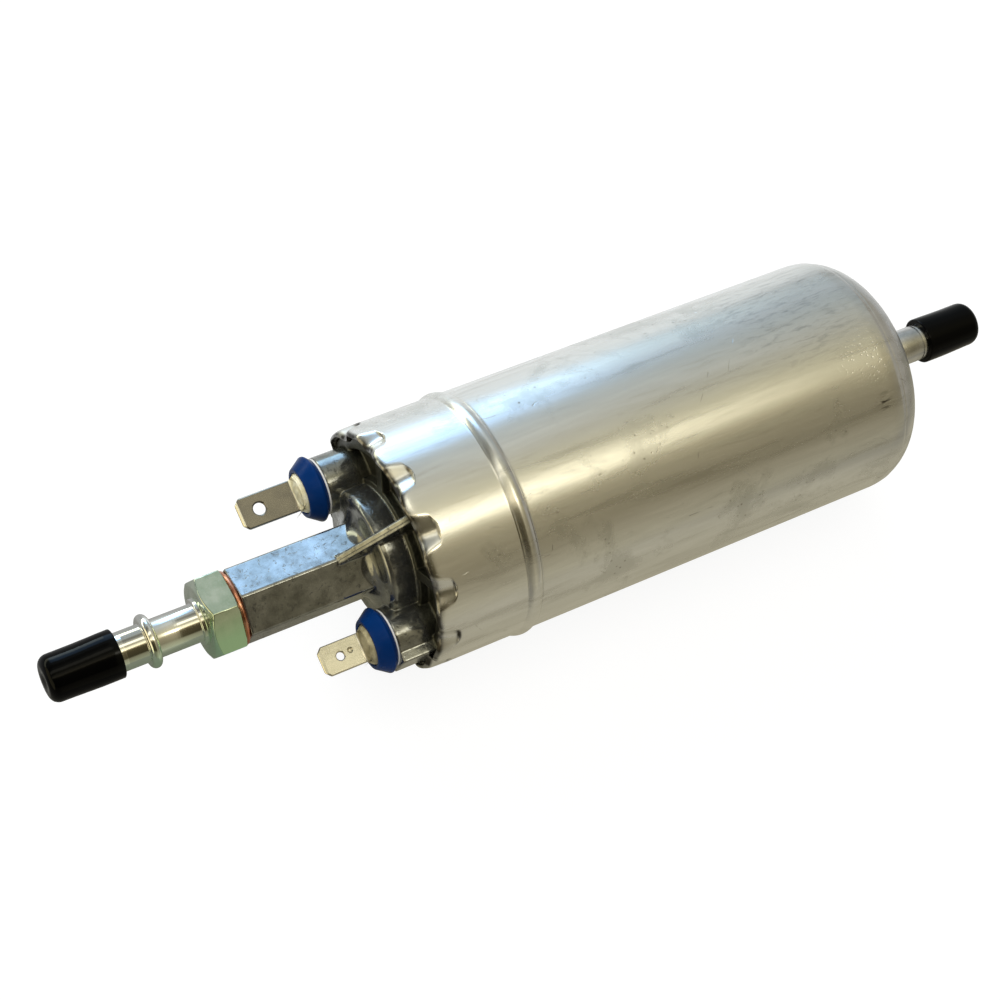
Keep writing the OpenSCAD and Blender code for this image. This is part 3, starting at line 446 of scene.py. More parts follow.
def turned_metal(name, light, dark, roughness, rings=1400.0, film_and_sheen=None):
    """Metal turned or ground on a lathe: fine rings across the axis and a slight cloudiness.
    rings is in lines for each metre. film_and_sheen holds the green colour towards -Y, the
    plating's own cast deepened by a painted reflection of the surroundings on that side, and
    the clearer colour that the plating has on the spigot, in front of the hexagon."""
    material, tree, shader, where = new_material(name)
    cloud = add(tree, "ShaderNodeTexNoise", {"Vector": where, "Scale": 260.0, "Detail": 4.0,
                "Roughness": 0.6})
    tone = add(tree, "ShaderNodeValToRGB", {"Fac": cloud.outputs[0]},
               [(0.35, linear(dark)), (0.65, linear(light))]).outputs[0]
    if film_and_sheen:
        reflected_green, clear = film_and_sheen
        parts = add(tree, "ShaderNodeSeparateXYZ", {"Vector": where})
        ahead = add(tree, "ShaderNodeMapRange", {"Value": parts.outputs["X"],
                    "From Min": (HEXAGON_FRONT - 0.4) * MM, "From Max": HEXAGON_FRONT * MM,
                    "To Min": 0.8, "To Max": 0.0})
        tone = add(tree, "ShaderNodeMix", {0: ahead.outputs[0], 6: tone, 7: linear(clear)},
                   data_type="RGBA").outputs[2]
        # painted reflection: towards -Y the plating turns greener, for the greenish surroundings
        # that side faces
        side = add(tree, "ShaderNodeMapRange", {"Value": parts.outputs["Y"],
                   "From Min": -1.5 * MM, "From Max": -6.5 * MM})
        tone = add(tree, "ShaderNodeMix", {0: side.outputs[0], 6: tone, 7: linear(reflected_green)},
                   data_type="RGBA").outputs[2]
    tree.links.new(tone, shader.inputs["Base Color"])
    shader.inputs["Metallic"].default_value = 1.0
    rough = add(tree, "ShaderNodeMapRange", {"Value": cloud.outputs[0], "From Min": 0.3,
                "From Max": 0.7, "To Min": roughness * 1.25, "To Max": roughness * 0.85})
    tree.links.new(rough.outputs[0], shader.inputs["Roughness"])
    across = add(tree, "ShaderNodeMapping", {"Vector": where, "Scale": (rings, 30, 30)})
    ring = add(tree, "ShaderNodeTexNoise", {"Vector": across.outputs[0], "Scale": 1.0,
               "Detail": 2.0})
    cut = add(tree, "ShaderNodeBump", {"Height": ring.outputs[0], "Distance": 0.00003,
              "Strength": 0.35})
    tree.links.new(cut.outputs[0], shader.inputs["Normal"])
    return material


def rolled_sheet(name, light, dark, roughness, resin_lit_light, resin_lit_dark, node):
    """Metal strip as rolled and stamped: fine grain along the blade, thumbed patches, a painted
    highlight on the tip, and dull sealing resin round its foot, its lightness set per terminal as
    painted light and shade."""
    material, tree, shader, where = new_material(name)
    along = add(tree, "ShaderNodeMapping", {"Vector": where, "Scale": (120, 1800, 1800)})
    grain = add(tree, "ShaderNodeTexNoise", {"Vector": along.outputs[0], "Scale": 1.0,
                "Detail": 3.0})
    thumb = add(tree, "ShaderNodeTexNoise", {"Vector": where, "Scale": 240.0, "Detail": 3.0})
    blade = add(tree, "ShaderNodeValToRGB", {"Fac": thumb.outputs[0]},
                [(0.35, linear(dark)), (0.62, linear(light))])
    parts = add(tree, "ShaderNodeSeparateXYZ", {"Vector": where})
    resin = add(tree, "ShaderNodeMapRange", {"Value": parts.outputs["X"],
                "From Min": (INSULATOR_FRONT - 1.45) * MM,
                "From Max": (INSULATOR_FRONT - 1.25) * MM}).outputs[0]
    # the resin's two colours are set per terminal as painted light and shade: pale cream on the
    # lit foot, darker on the shaded one
    lump = add(tree, "ShaderNodeTexNoise", {"Vector": where, "Scale": 520.0, "Detail": 4.0})
    cast = add(tree, "ShaderNodeValToRGB", {"Fac": lump.outputs[0]},
               [(0.38, linear(resin_lit_dark)), (0.6, linear(resin_lit_light))])
    # painted highlight: the last 0.5 mm of the tip is lightened to pale cream, as a lit bevel
    end = min(vertex.co.x for vertex in NODES[node].data.vertices)
    tip = add(tree, "ShaderNodeMapRange", {"Value": parts.outputs["X"],
              "From Min": end + 0.5 * MM, "From Max": end + 0.65 * MM, "To Min": 1.0,
              "To Max": 0.0})
    wear_and_sheen = add(tree, "ShaderNodeMix", {0: tip.outputs[0], 6: blade.outputs[0],
               7: linear("#f4efdc")}, data_type="RGBA")
    tone = add(tree, "ShaderNodeMix", {0: resin, 6: wear_and_sheen.outputs[2], 7: cast.outputs[0]},
               data_type="RGBA")
    tree.links.new(tone.outputs[2], shader.inputs["Base Color"])
    metal = add(tree, "ShaderNodeMath", {0: 1.0, 1: resin}, operation="SUBTRACT")
    tree.links.new(metal.outputs[0], shader.inputs["Metallic"])
    satin = add(tree, "ShaderNodeMapRange", {"Value": thumb.outputs[0], "From Min": 0.3,
                "From Max": 0.7, "To Min": roughness * 1.2, "To Max": roughness * 0.8})
    rough = add(tree, "ShaderNodeMath", {0: resin, 1: 0.2, 2: satin.outputs[0]},
                operation="MULTIPLY_ADD")
    tree.links.new(rough.outputs[0], shader.inputs["Roughness"])
    lines = add(tree, "ShaderNodeBump", {"Height": grain.outputs[0], "Distance": 0.00002,
                "Strength": 0.4})
    lumpy = add(tree, "ShaderNodeBump", {"Height": lump.outputs[0], "Distance": 0.0003,
                "Strength": resin, "Normal": lines.outputs[0]})
    tree.links.new(lumpy.outputs[0], shader.inputs["Normal"])
    return material


def moulded(name, colour, roughness, grain=0.00003, shine=0.5):
    """Moulded plastic or rubber: even colour with a slight cloud, soft gloss, faint grain."""
    material, tree, shader, where = new_material(name)
    base = linear(colour)
    cloud = add(tree, "ShaderNodeTexNoise", {"Vector": where, "Scale": 180.0, "Detail": 3.0})
    lower = tuple(c * 0.82 for c in base[:3]) + (1.0,)
    tone = add(tree, "ShaderNodeValToRGB", {"Fac": cloud.outputs[0]},
               [(0.35, lower), (0.65, base)])
    tree.links.new(tone.outputs[0], shader.inputs["Base Color"])
    rough = add(tree, "ShaderNodeMapRange", {"Value": cloud.outputs[0], "From Min": 0.3,
                "From Max": 0.7, "To Min": roughness * 0.88, "To Max": roughness * 1.12})
    tree.links.new(rough.outputs[0], shader.inputs["Roughness"])
    fine = add(tree, "ShaderNodeTexNoise", {"Vector": where, "Scale": 1500.0, "Detail": 2.0})
    skin = add(tree, "ShaderNodeBump", {"Height": fine.outputs[0], "Distance": grain,
               "Strength": 0.3})
    tree.links.new(skin.outputs[0], shader.inputs["Normal"])
    shader.inputs["Specular IOR Level"].default_value = shine
    return material


def pressed_powder(name, light, dark, roughness, metallic):
    """Pressed and fired powder, such as ferrite, carbon or sintered metal: fine speckle."""
    material, tree, shader, where = new_material(name)
    grains = add(tree, "ShaderNodeTexNoise", {"Vector": where, "Scale": 1600.0, "Detail": 4.0,
                 "Roughness": 0.7})
    tone = add(tree, "ShaderNodeValToRGB", {"Fac": grains.outputs[0]},
               [(0.38, linear(dark)), (0.62, linear(light))])
    tree.links.new(tone.outputs[0], shader.inputs["Base Color"])
    shader.inputs["Metallic"].default_value = metallic
    shader.inputs["Roughness"].default_value = roughness
    skin = add(tree, "ShaderNodeBump", {"Height": grains.outputs[0], "Distance": 0.00004,
               "Strength": 0.5})
    tree.links.new(skin.outputs[0], shader.inputs["Normal"])
    return material


# The finish of each material slot, with what it gives the eye
FINISH = {
    # satin and pale, streaked along the can by its drawing and dulled by handling
    "can_aluminium": drawn_aluminium(),
    # bright drawn tube with soft highlights
    "pipe_aluminium": turned_metal("drawn_aluminium_pipe", "#dedddb", "#c2c1bd", 0.2),
    # faced on a lathe, so even and matt
    "plate_aluminium": turned_metal("machined_aluminium_plate", "#cfcfce", "#b4b4b3", 0.32),
    # dark, mottled casting skin that mirrors the room in broad, uneven patches
    "die_cast_zinc": die_cast_zinc(),
    # bright plating with a green cast, deepened towards -Y by a painted reflection, clearer on the
    # turned spigot
    "passivated_steel": turned_metal("passivated_zinc_plate", "#dbe3d0", "#b7c8af", 0.11,
                                      film_and_sheen=("#c9f5d2", "#f2efec")),
    # soft copper, warm and satin
    "copper": turned_metal("annealed_copper", "#f2b89c", "#cf8566", 0.24),
    # tin that handling has dulled to a brownish grey; a painted highlight lightens its foot's
    # resin to pale cream
    "tinned_brass": rolled_sheet("tinned_brass_strip", "#989389", "#848079", 0.24,
                                 "#fff8d6", "#e6dbae", "wide_terminal"),
    # fresh pale strip, still bright; painted shade darkens its foot's resin
    "pale_brass": rolled_sheet("bright_brass_strip", "#ece8da", "#d2cebf", 0.24,
                                "#b9ad85", "#8d825f", "narrow_terminal"),
    # deep blue with a weak, soft gloss
    "blue_plastic": moulded("moulded_blue_nylon", "#053068", 0.25, shine=0.08),
    # off-white and waxy
    "white_plastic": moulded("moulded_acetal", "#eceae4", 0.42),
    # opaque brown, nearly matt
    "brown_plastic": moulded("moulded_phenolic", "#5a3a22", 0.45),
    # matt black rubber
    "black_rubber": moulded("nitrile_rubber", "#17171a", 0.55),
    # matt brick-red rubber
    "red_rubber": moulded("fluorocarbon_rubber", "#7a1f1a", 0.5),
    # black, smooth from dipping, with narrow highlights
    "black_vinyl": moulded("dipped_vinyl", "#030303", 0.08, 0.00003, 0.09),
    # dark grey and dusty
    "carbon": pressed_powder("pressed_carbon", "#3a3a3c", "#232324", 0.5, 0.0),
    # dark grey and stone-like
    "ferrite": pressed_powder("fired_ferrite", "#4a4a4d", "#2f2f32", 0.6, 0.0),
    # grey steel with a dull sheen
    "mild_steel": turned_metal("mild_steel", "#a5a7aa", "#85878b", 0.38),
    # grey, finely speckled by its powder
    "sintered_steel": pressed_powder("sintered_steel", "#aeb0b3", "#8d8f93", 0.36, 1.0),
    # brownish yellow, porous and oil-soaked
    "sintered_bronze": pressed_powder("sintered_bronze", "#c39a5c", "#97713b", 0.42, 1.0),
    # nearly a mirror
    "ground_steel": turned_metal("ground_steel", "#d7d8da", "#bfc0c3", 0.16),
    # drawn wire, fairly bright
    "spring_steel": turned_metal("spring_steel", "#b9babd", "#97999d", 0.25),
    # copper seen through clear red-brown enamel
    "enamelled_copper": turned_metal("enamelled_copper_wire", "#b5562c", "#8a3c1c", 0.22),
}

SLOT_OF = {row["node"]: row["material_slot"] for row in frame["record"]["subparts"]}
for node_name, node_object in NODES.items():
    node_object.data.materials.clear()
    node_object.data.materials.append(FINISH[SLOT_OF[node_name]])


# The can

# The punch dents round the lip: their number, the first one's angle, and in millimetres
# their length, the punch's radius, their depth at the rear, how much deeper they are at the
# lip, and the length of the step at their rear. The flank runs past the punch by a factor.
DENTS = 13
DENT_FIRST = math.radians(17.0)
DENT_LEN = 3.9
DENT_R = 3.4
DENT_REAR = 0.72
DENT_FALL = 0.85
DENT_STEP = 0.4
DENT_FLANK = 1.42
LIP_BULGE = 0.95


def dent_depth(x, a):
    """How far the punch pushes the wall in, at a station and an angle round the can."""
    pitch = 2 * math.pi / DENTS
    off = (a - DENT_FIRST + pitch / 2) % pitch - pitch / 2
    s = np.abs(off) * CAN_R
    back = (x - LIP) / DENT_LEN
    # each blow is a little different
    which = np.round((a - DENT_FIRST) / pitch)
    depth = DENT_REAR * (1 + 0.14 * np.sin(2.4 * which + 1)) + DENT_FALL * (
        1 - np.clip(back, -0.2, 1.0))
    half = np.sqrt(2 * depth / (1 / DENT_R + 1 / CAN_R))
    wide = DENT_FLANK + 0.11 * np.sin(1.7 * which) * np.sign(off)
    scoop = 0.5 + 0.5 * np.cos(math.pi * np.clip(s / (wide * half), 0, 1))
    rear = LIP + DENT_LEN - 0.5 * (s / half) ** 2 + 0.06 * np.sin(off * CAN_R * 2.2 + which)
    step = np.clip((rear - x) / DENT_STEP + 0.5, 0, 1)
    step = step * step * (3 - 2 * step)
    return depth * scoop * step


def dented(x, r, a):
    """Moves the points of the front edge in by the depth of the dents."""
    near = np.clip((LIP + DENT_LEN + 2.2 - x) / 1.0, 0, 1)
    inner = r < CAN_IN + 0.02
    reach = np.where(inner & (x > LIP + 2.5), 0.0, 1.0)
    depth = dent_depth(x, a) * near * reach
    # the lip bulges forward between two dents and is a little uneven
    bulge = 0.5 - 0.5 * np.cos(DENTS * (a - DENT_FIRST))
    wobble = 0.09 * np.sin(3 * a + 0.6) + 0.06 * np.sin(7 * a + 2.0)
    at_lip = np.clip((LIP + 2.4 - x) / 2.4, 0, 1)
    return x + (wobble - LIP_BULGE * bulge) * at_lip, r - depth


def dent_painted_shade(x, a):
    """Painted shade in the corner at the rear end of each dent and on the lip, from 0 to 1."""
    pitch = 2 * math.pi / DENTS
    s = ((a - DENT_FIRST + pitch / 2) % pitch - pitch / 2) * CAN_R
    rear = LIP + DENT_LEN - 0.07 * s * s
    spread = 0.22 + 0.12 * np.sin(5 * a + 1.0)
    corner = np.exp(-((x - rear + 0.1) / spread) ** 2) * np.clip(1.7 - np.abs(s + 0.4) / 1.3, 0, 1)
    # the curled lip is painted dark all round, as shade
    bulge = 0.5 - 0.5 * np.cos(DENTS * (a - DENT_FIRST))
    lip = np.clip((LIP + 0.95 - x - LIP_BULGE * bulge) / 0.5, 0, 1)
    return np.maximum(corner, 0.95 * lip)


def can_profile():
    """Closed section of the can's wall, from the lip round the outside and back inside."""
    lip = [(LIP + 2.3, CAN_IN + 0.05), (LIP + 1.7, CAN_IN + 0.14), (LIP + 1.2, CAN_IN + 0.24),
           (LIP + 0.8, CAN_IN + 0.33), (LIP + 0.45, CAN_IN + 0.4)]
    lip += arc(LIP + 0.2, 25.08, 0.18, 270, 130, 6)
    lip += [(LIP + 0.14, 25.4), (LIP + 0.28, 25.6), (LIP + 0.46, 25.75), (LIP + 0.68, 25.86),
            (LIP + 0.92, 25.93), (LIP + 1.2, 25.97), (LIP + 1.6, 25.99), (LIP + 2.0, CAN_R)]
    lip += [(LIP + v, CAN_R) for v in
            (2.25, 2.5, 2.75, 3.0, 3.2, 3.35, 3.5, 3.62, 3.74, 3.86, 3.98, 4.1, 4.25, 4.4,
             4.6, 4.8, 5.1, 5.5, 6.2, 8.0, 12.0, 17.0)]
    bead = [(BEAD - 2.3, CAN_R)] + arc(BEAD - 1.93, CAN_R + 0.45, 0.45, 270, 311, 4)
    bead += arc(BEAD, CAN_R - 1.72, 2.37, 131, 49, 15)
    bead += arc(BEAD + 1.93, CAN_R + 0.45, 0.45, 229, 270, 4) + [(BEAD + 2.3, CAN_R)]
    body = [(v, CAN_R) for v in (-38, -28, -16, -4, 8, 20, 30, 37, 41, 43)]
    round_r = END_FACE - SHOULDER
    shoulder = []
    for t in np.concatenate([np.linspace(90, 75, 7)[:-1], np.linspace(75, 66, 14)[:-1],
                             np.linspace(66, 0, 16)]):
        x = SHOULDER + round_r * math.cos(math.radians(t))
        r = CAN_R - round_r + round_r * math.sin(math.radians(t))
        # crease left by the drawing punch
        dip = 0.07 * math.exp(-((x - SHOULDER - 3.6) / 0.3) ** 2)
        crest = 0.05 * math.exp(-((x - SHOULDER - 2.8) / 0.45) ** 2)
        shoulder.append((x, r - dip + crest))
    flare = 4.4
    neck = [(END_FACE, 12.0)] + arc(END_FACE + flare, 4.6 + flare, flare, 180, 270, 12)
    neck += [(END_FACE + flare + 0.12, 4.5), (END_FACE + flare + 0.12, 4.08)]
    inside = [(END_FACE - 1.5, 4.08), (END_FACE - 1.5, 15.0), (END_FACE - 2.0, 19.0),
              (END_FACE - 5.0, 22.6), (SHOULDER, CAN_IN), (-40, CAN_IN), (LIP + 9, CAN_IN),
              (LIP + 3.4, CAN_IN)]
    return lip + bead + body + shoulder + neck + inside


can = lathe("can_shell", can_profile(), 702, bend=dented)
points = np.empty(len(can.data.vertices) * 3)
can.data.vertices.foreach_get("co", points)
points = points.reshape(-1, 3) / MM
at = points[:, 0], np.arctan2(points[:, 2], points[:, 1])
# the dents' rear corners and the lip get painted shade through this attribute
can.data.attributes.new("painted_shade", "FLOAT", "POINT").data.foreach_set("value", dent_painted_shade(*at))
struck = np.clip(dent_depth(*at) / 0.35, 0, 1)
can.data.attributes.new("punched", "FLOAT", "POINT").data.foreach_set("value", struck)
place(can, "root", "housing", FINISH["can_aluminium"])


# The outlet cover

def cast_cover():
    """Outlet cover with the soft edges and the slight unevenness of a die casting."""
    made = copy_of("front_cover", "outlet_cover")
    remesh = made.modifiers.new("skin", "REMESH")
    remesh.mode = "VOXEL"
    remesh.voxel_size = 0.22 * MM
    smooth = made.modifiers.new("ease", "SMOOTH")
    smooth.factor = 0.5
    smooth.iterations = 2
    fewer = made.modifiers.new("fewer", "DECIMATE")
    fewer.ratio = 0.3
    baked(made)
    thin_ribs(made.data)
    for face in made.data.polygons:
        face.use_smooth = True
    return made


# Ends of a gusset rib's edge, in millimetres, and the share of its thickness taken off
RIB_FOOT = Vector((-77.5, 0.0, 7.55))
RIB_HEAD = Vector((-64.5, 0.0, 23.25))
RIB_THINNER = 0.15


def thin_ribs(mesh):
    """Thins the two gusset ribs to 1.7 mm, as the photo shows them."""
    count = len(mesh.vertices)
    spots, turned = np.empty(count * 3), np.empty(count * 3)
    mesh.vertices.foreach_get("co", spots)
    mesh.vertices.foreach_get("normal", turned)
    spots, turned = spots.reshape(-1, 3), turned.reshape(-1, 3)
    x, y, z = (spots / MM).T
    line = RIB_HEAD - RIB_FOOT
    below = ((x - RIB_FOOT.x) * line.z - (np.abs(z) - RIB_FOOT.z) * line.x) / line.length
    share = np.maximum(np.clip((np.abs(turned[:, 1]) - 0.6) / 0.25, 0, 1), below < 0.5)
    share *= (np.abs(y) < 1.2) & (x > -78.5) & (x < -63.0)
    spots[:, 1] *= 1 - RIB_THINNER * share * np.clip((np.abs(z) - 9.8) / 0.8, 0, 1)
    mesh.vertices.foreach_set("co", spots.ravel())
    mesh.update()


def rib_edge(side):
    """Raised line and fin that the die's parting leaves along a gusset rib's edge."""
    along = (RIB_HEAD - RIB_FOOT).normalized()
    out = Vector((-along.z, 0.0, along.x))
    section = [(-0.88, -0.5), (-0.88, -0.14), (-0.8, 0.02), (-0.66, 0.09), (-0.5, 0.06),
               (-0.38, -0.08), (-0.24, 0.04), (-0.04, 0.14), (0.24, 0.18), (0.52, 0.15),
               (0.74, 0.04), (0.88, -0.14), (0.88, -0.5)]
    places = [0.0, 0.012, 0.03] + [k / 24 for k in range(1, 24)] + [0.97, 0.988, 1.0]
    points = []
    for t in places:
        sink = 0.35 * (1 - min(1.0, min(t, 1 - t) / 0.03)) ** 2
        for y, h in section:
            p = RIB_FOOT.lerp(RIB_HEAD, t) + out * (h - sink)
            points.append((p.x, y, side * p.z))
    n = len(section)
    faces = [(i * n + k, i * n + (k + 1) % n, (i + 1) * n + (k + 1) % n, (i + 1) * n + k)
             for i in range(len(places) - 1) for k in range(n)]
    faces += [tuple(range(n)), tuple(range(len(points) - 1, len(points) - n - 1, -1))]
    return mesh_object("rib_edge", points, faces)


cover = joined(joined(cast_cover(), rib_edge(1)), rib_edge(-1))
place(cover, "root", "front_cover", FINISH["die_cast_zinc"])


# Insulators

def insulator(name, side):
    """Blue insulator: a blunt cone with rounded edges, a well, and its sleeve."""
    f, b = INSULATOR_FRONT, INSULATOR_BACK
    profile = [(f + 2.6, 2.06), (f + 2.6, 4.2)]
    profile += arc(f + 2.45, 4.2, 0.15, 0, 90, 4)
    profile += [(f + 0.5, 4.37)]
    profile += arc(f + 0.3, 4.7, 0.3, 250, 180, 4) + arc(f + 0.3, 5.08, 0.3, 180, 130, 4)
    profile += [(f + 1.3, 6.12)] + arc(f + 2.75, 6.45, 0.55, 125, 40, 6)
    profile += arc(b - 0.3, 5.85, 0.3, 55, 0, 4)
    profile += [(b, 3.2), (COVER_BACK, 3.2), (COVER_BACK, 2.06)]
    return lathe(name, profile, 120, (side * TERMINAL_Y, 0.0))


def washer(name, side):
    """Thin fibre washer under an insulator, a little off centre, its edge just in sight."""
    b = INSULATOR_BACK
    profile = [(b, 3.25), (b + 0.34, 3.25), (b + 0.34, 6.0), (b + 0.27, 6.04), (b + 0.07, 6.04),
               (b, 6.0)]
    return lathe(name, profile, 96, (side * TERMINAL_Y, 0.12))


for name, side in (("wide_insulator", 1), ("narrow_insulator", -1)):
    place(insulator(name + "_head", side), "root", name, FINISH["blue_plastic"])
place(joined(washer("fibre_washer_pair", 1), washer("far_washer", -1)), "root", "fibre_washers",
      FINISH[SLOT_OF["fibre_washers"]])


# Metal fittings

def foot(side):
    """Sealing resin round the foot of a terminal's blade, filling its insulator's well."""
    f = INSULATOR_FRONT
    section = [(f + 2.5, 1.0), (f + 2.5, 4.3), (f + 0.45, 4.3), (f + 0.2, 4.2),
               (f - 0.1, 4.0), (f - 0.45, 3.6), (f - 0.8, 3.0), (f - 1.05, 2.2), (f - 1.2, 1.0)]
    return lathe("foot", section, 72, (side * TERMINAL_Y, 0.0))


def ring_fill(start, end):
    """Fills the shallow relief beside a cap's seat, as the photo shows none there."""
    skin = SPIGOT_R + 0.003
    return lathe("ring", [(start, 3.7), (start, skin), (end, skin), (end, 3.7)], 96)


# Stations between which a relief is filled, and the width of each fitting's eased edges
FILLS = {"outlet_fitting": (-123.5, -121.9), "inlet_pipe": (69.2, 70.8)}
EASED = {"wide_terminal": 0.26, "narrow_terminal": 0.2, "outlet_fitting": 0.16,
         "sealing_washer": 0.1, "inlet_pipe": 0.15}
for node_name, width in EASED.items():
    piece = eased(node_name, node_name + "_eased", width)
    if node_name.endswith("terminal"):
        joined(piece, foot(1 if node_name == "wide_terminal" else -1))
    if node_name in FILLS:
        joined(piece, ring_fill(*FILLS[node_name]))
    slot = SLOT_OF[node_name]
    place(piece, "root", node_name, FINISH[slot])


# Push-on caps

def push_cap(name, rim, tip, towards):
    """Dipped vinyl cap from its rim to its rounded tip. towards is 1 along +X, or -1."""
    length = abs(tip - rim)
    outer, inner = 4.96, 4.06
    profile = [(0.0, inner), (0.0, inner + 0.5)] + arc(0.3, outer - 0.22, 0.3, 180, 90, 5)
    profile += [(2.5, outer + 0.05), (5.0, outer + 0.02), (8.0, outer), (length - 3.2, outer)]
    profile += arc(length - 2.1, outer - 2.1, 2.1, 88, 12, 12)
    profile += [(length - 0.12, 1.9), (length - 0.3, 1.2), (length - 0.42, 0.6),
                (length - 0.45, 0.0), (length - 1.3, 0.0), (length - 1.3, inner - 0.4),
                (length - 1.7, inner)]

    def soften(x, r, a):
        sag = 0.05 * np.sin(2 * a + x * 0.35) + 0.03 * np.sin(3 * a - x * 0.5 + 1.0)
        outside = np.clip((r - inner - 0.2) / 0.4, 0, 1)
        return rim + towards * x, r + sag * outside

    return lathe(name, profile, 96, bend=soften)


place(push_cap("inlet_push_cap", 70.3, 84.5, 1), "inlet_cap", "inlet_cap",
      FINISH["black_vinyl"])
place(push_cap("outlet_push_cap", -123.0, -138.1, -1), "outlet_cap", "outlet_cap",
      FINISH["black_vinyl"])


# Springs

def spring_tree():
    """Geometry nodes for a wound spring: a spiral with a round wire swept along it."""
    tree = bpy.data.node_groups.new("wound_spring", "GeometryNodeTree")
    face = tree.interface
    face.new_socket("Geometry", in_out="OUTPUT", socket_type="NodeSocketGeometry")
    for name in ("Radius", "Length", "Turns", "Wire"):
        face.new_socket(name, in_out="INPUT", socket_type="NodeSocketFloat")
    face.new_socket("Finish", in_out="INPUT", socket_type="NodeSocketMaterial")
    given = tree.nodes.new("NodeGroupInput")
    spiral = add(tree, "GeometryNodeCurveSpiral",
                 {"Resolution": 40, "Rotations": given.outputs["Turns"],
                  "Start Radius": given.outputs["Radius"],
                  "End Radius": given.outputs["Radius"], "Height": given.outputs["Length"]})
    wire = add(tree, "GeometryNodeCurvePrimitiveCircle",
               {"Resolution": 12, "Radius": given.outputs["Wire"]})
    swept = add(tree, "GeometryNodeCurveToMesh",
                {"Curve": spiral.outputs[0], "Profile Curve": wire.outputs[0],
                 "Fill Caps": True})
    smooth = add(tree, "GeometryNodeSetShadeSmooth", {"Geometry": swept.outputs[0]})
    real = add(tree, "GeometryNodeRealizeInstances", {"Geometry": smooth.outputs[0]})
    dressed = add(tree, "GeometryNodeSetMaterial",
                  {"Geometry": real.outputs[0], "Material": given.outputs["Finish"]})
    result = tree.nodes.new("NodeGroupOutput")
    tree.links.new(dressed.outputs[0], result.inputs[0])
    return tree


SPRING = spring_tree()


def wound_spring(node, start, direction, radius, length, turns, wire):
    """Spring that stands for a CAD spring node, which it hides."""
    made = bpy.data.objects.new(node + "_wire", bpy.data.meshes.new(node + "_wire"))
    bpy.context.scene.collection.objects.link(made)
    wound = made.modifiers.new("wind", "NODES")
    wound.node_group = SPRING
    sizes = {"Radius": radius * MM, "Length": (length - 2 * wire) * MM, "Turns": float(turns),
             "Wire": wire * MM, "Finish": FINISH["spring_steel"]}
    for item in SPRING.interface.items_tree:
        if item.in_out == "INPUT":
            wound[item.identifier] = sizes[item.name]
    baked(made)
    along = Vector(direction)
    turn = along.to_track_quat("Z", "Y").to_matrix().to_4x4()
    foot = Vector(start) * MM + along * wire * MM
    made.data.transform(Matrix.Translation(foot) @ turn)
    finish_mesh(made.data, 60)
    made.data.materials.clear()
    made.data.materials.append(FINISH["spring_steel"])
    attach(made, "root")
    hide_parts(node)
    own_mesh(made)
    return made


wound_spring("upper_brush_spring", (-50.2, 14.05, 0), (0, 1, 0),
             1.8, 6.5, 6, 0.25)
wound_spring("lower_brush_spring", (-50.2, -14.05, 0), (0, -1, 0),
             1.8, 6.5, 6, 0.25)
wound_spring("check_spring", (-79.69, 0, 0), (-1, 0, 0),
             2.75, 8.26, 6, 0.3)
wound_spring("relief_spring", (35.13, 0, -18), (1, 0, 0),
             1.7, 4.82, 4, 0.25)


# Stage, light and camera

def studio_world():
    """Plain pale light. The camera, metal and clear things see a white background."""
    world = bpy.data.worlds.new("studio")
    bpy.context.scene.world = world
    world.use_nodes = True
    tree = world.node_tree
    tree.nodes.clear()
    path = add(tree, "ShaderNodeLightPath")
    plain = add(tree, "ShaderNodeBackground", {"Color": (0.96, 0.98, 1.0, 1.0),
                "Strength": 0.38})
    white = add(tree, "ShaderNodeBackground", {"Color": (1, 1, 1, 1), "Strength": 1.0})
    seen = add(tree, "ShaderNodeMath", {0: path.outputs["Is Camera Ray"],
               1: path.outputs["Is Glossy Ray"]}, operation="MAXIMUM")
    seen_too = add(tree, "ShaderNodeMath", {0: seen.outputs[0],
                   1: path.outputs["Is Transmission Ray"]}, operation="MAXIMUM")
    both = add(tree, "ShaderNodeMixShader", {0: seen_too.outputs[0], 1: plain.outputs[0],
               2: white.outputs[0]})
    out = add(tree, "ShaderNodeOutputWorld")
    tree.links.new(both.outputs[0], out.inputs["Surface"])


# The studio's walls by their angle round the pump, counted from +Y to +Z, in degrees, and
# their paint. Only metal and gloss see them.
WALLS = [(-180, "#b3ae98"), (-120, "#c8c4b4"), (-60, "#eceeee"), (-15, "#cfd8da"),
         (12, "#c4ccd0"), (28, "#bcc6c8"), (49, "#cfd2cb"), (60, "#c6c5b8"), (77, "#cdc8ae"),
         (88, "#d6ceac"), (104, "#cdc29c"), (120, "#a39a7e"), (148, "#8e866e"),
         (163, "#a8a18a"), (180, "#b3ae98")]

# What shines on the walls: its middle and half width round the pump in degrees, the width of
# its soft edge, the stations along X in metres where it is in full from, starts to fade and has
# gone, and its linear colour.
GLOWS = {
    "sky_window": (-3, 9, 12, 0.0, 0.24, 0.58, (0.42, 0.60, 0.62)),
    "blue_pane": (10, 12, 9, 0.0, 0.16, 0.42, (0.75, 1.42, 2.45)),
    "ceiling_light": (97.5, 3.5, 9, -1.2, 0.30, 0.54, (1.34, 1.28, 1.0)),
    "bare_bulb": (98, 1.5, 4, -1.2, 0.14, 0.24, (4.6, 4.4, 3.9)),
    "far_lamp": (71, 3, 6, -1.2, 0.075, 0.1, (1.2, 1.15, 0.95)),
    "low_lamp": (-2, 8, 7, -1.2, 0.03, 0.055, (2.6, 2.6, 1.9)),
}

# Dark beams in front of the walls, given in the same way with their tint. Only the outlet's
# end of the pump sees them.
BEAMS = {
    "roof_beam": (48, 5, 5, -1.2, 0.075, 0.1, (0.5, 0.48, 0.44)),
    "side_beam": (122, 26, 8, -1.2, 0.075, 0.1, (0.27, 0.25, 0.2)),
}


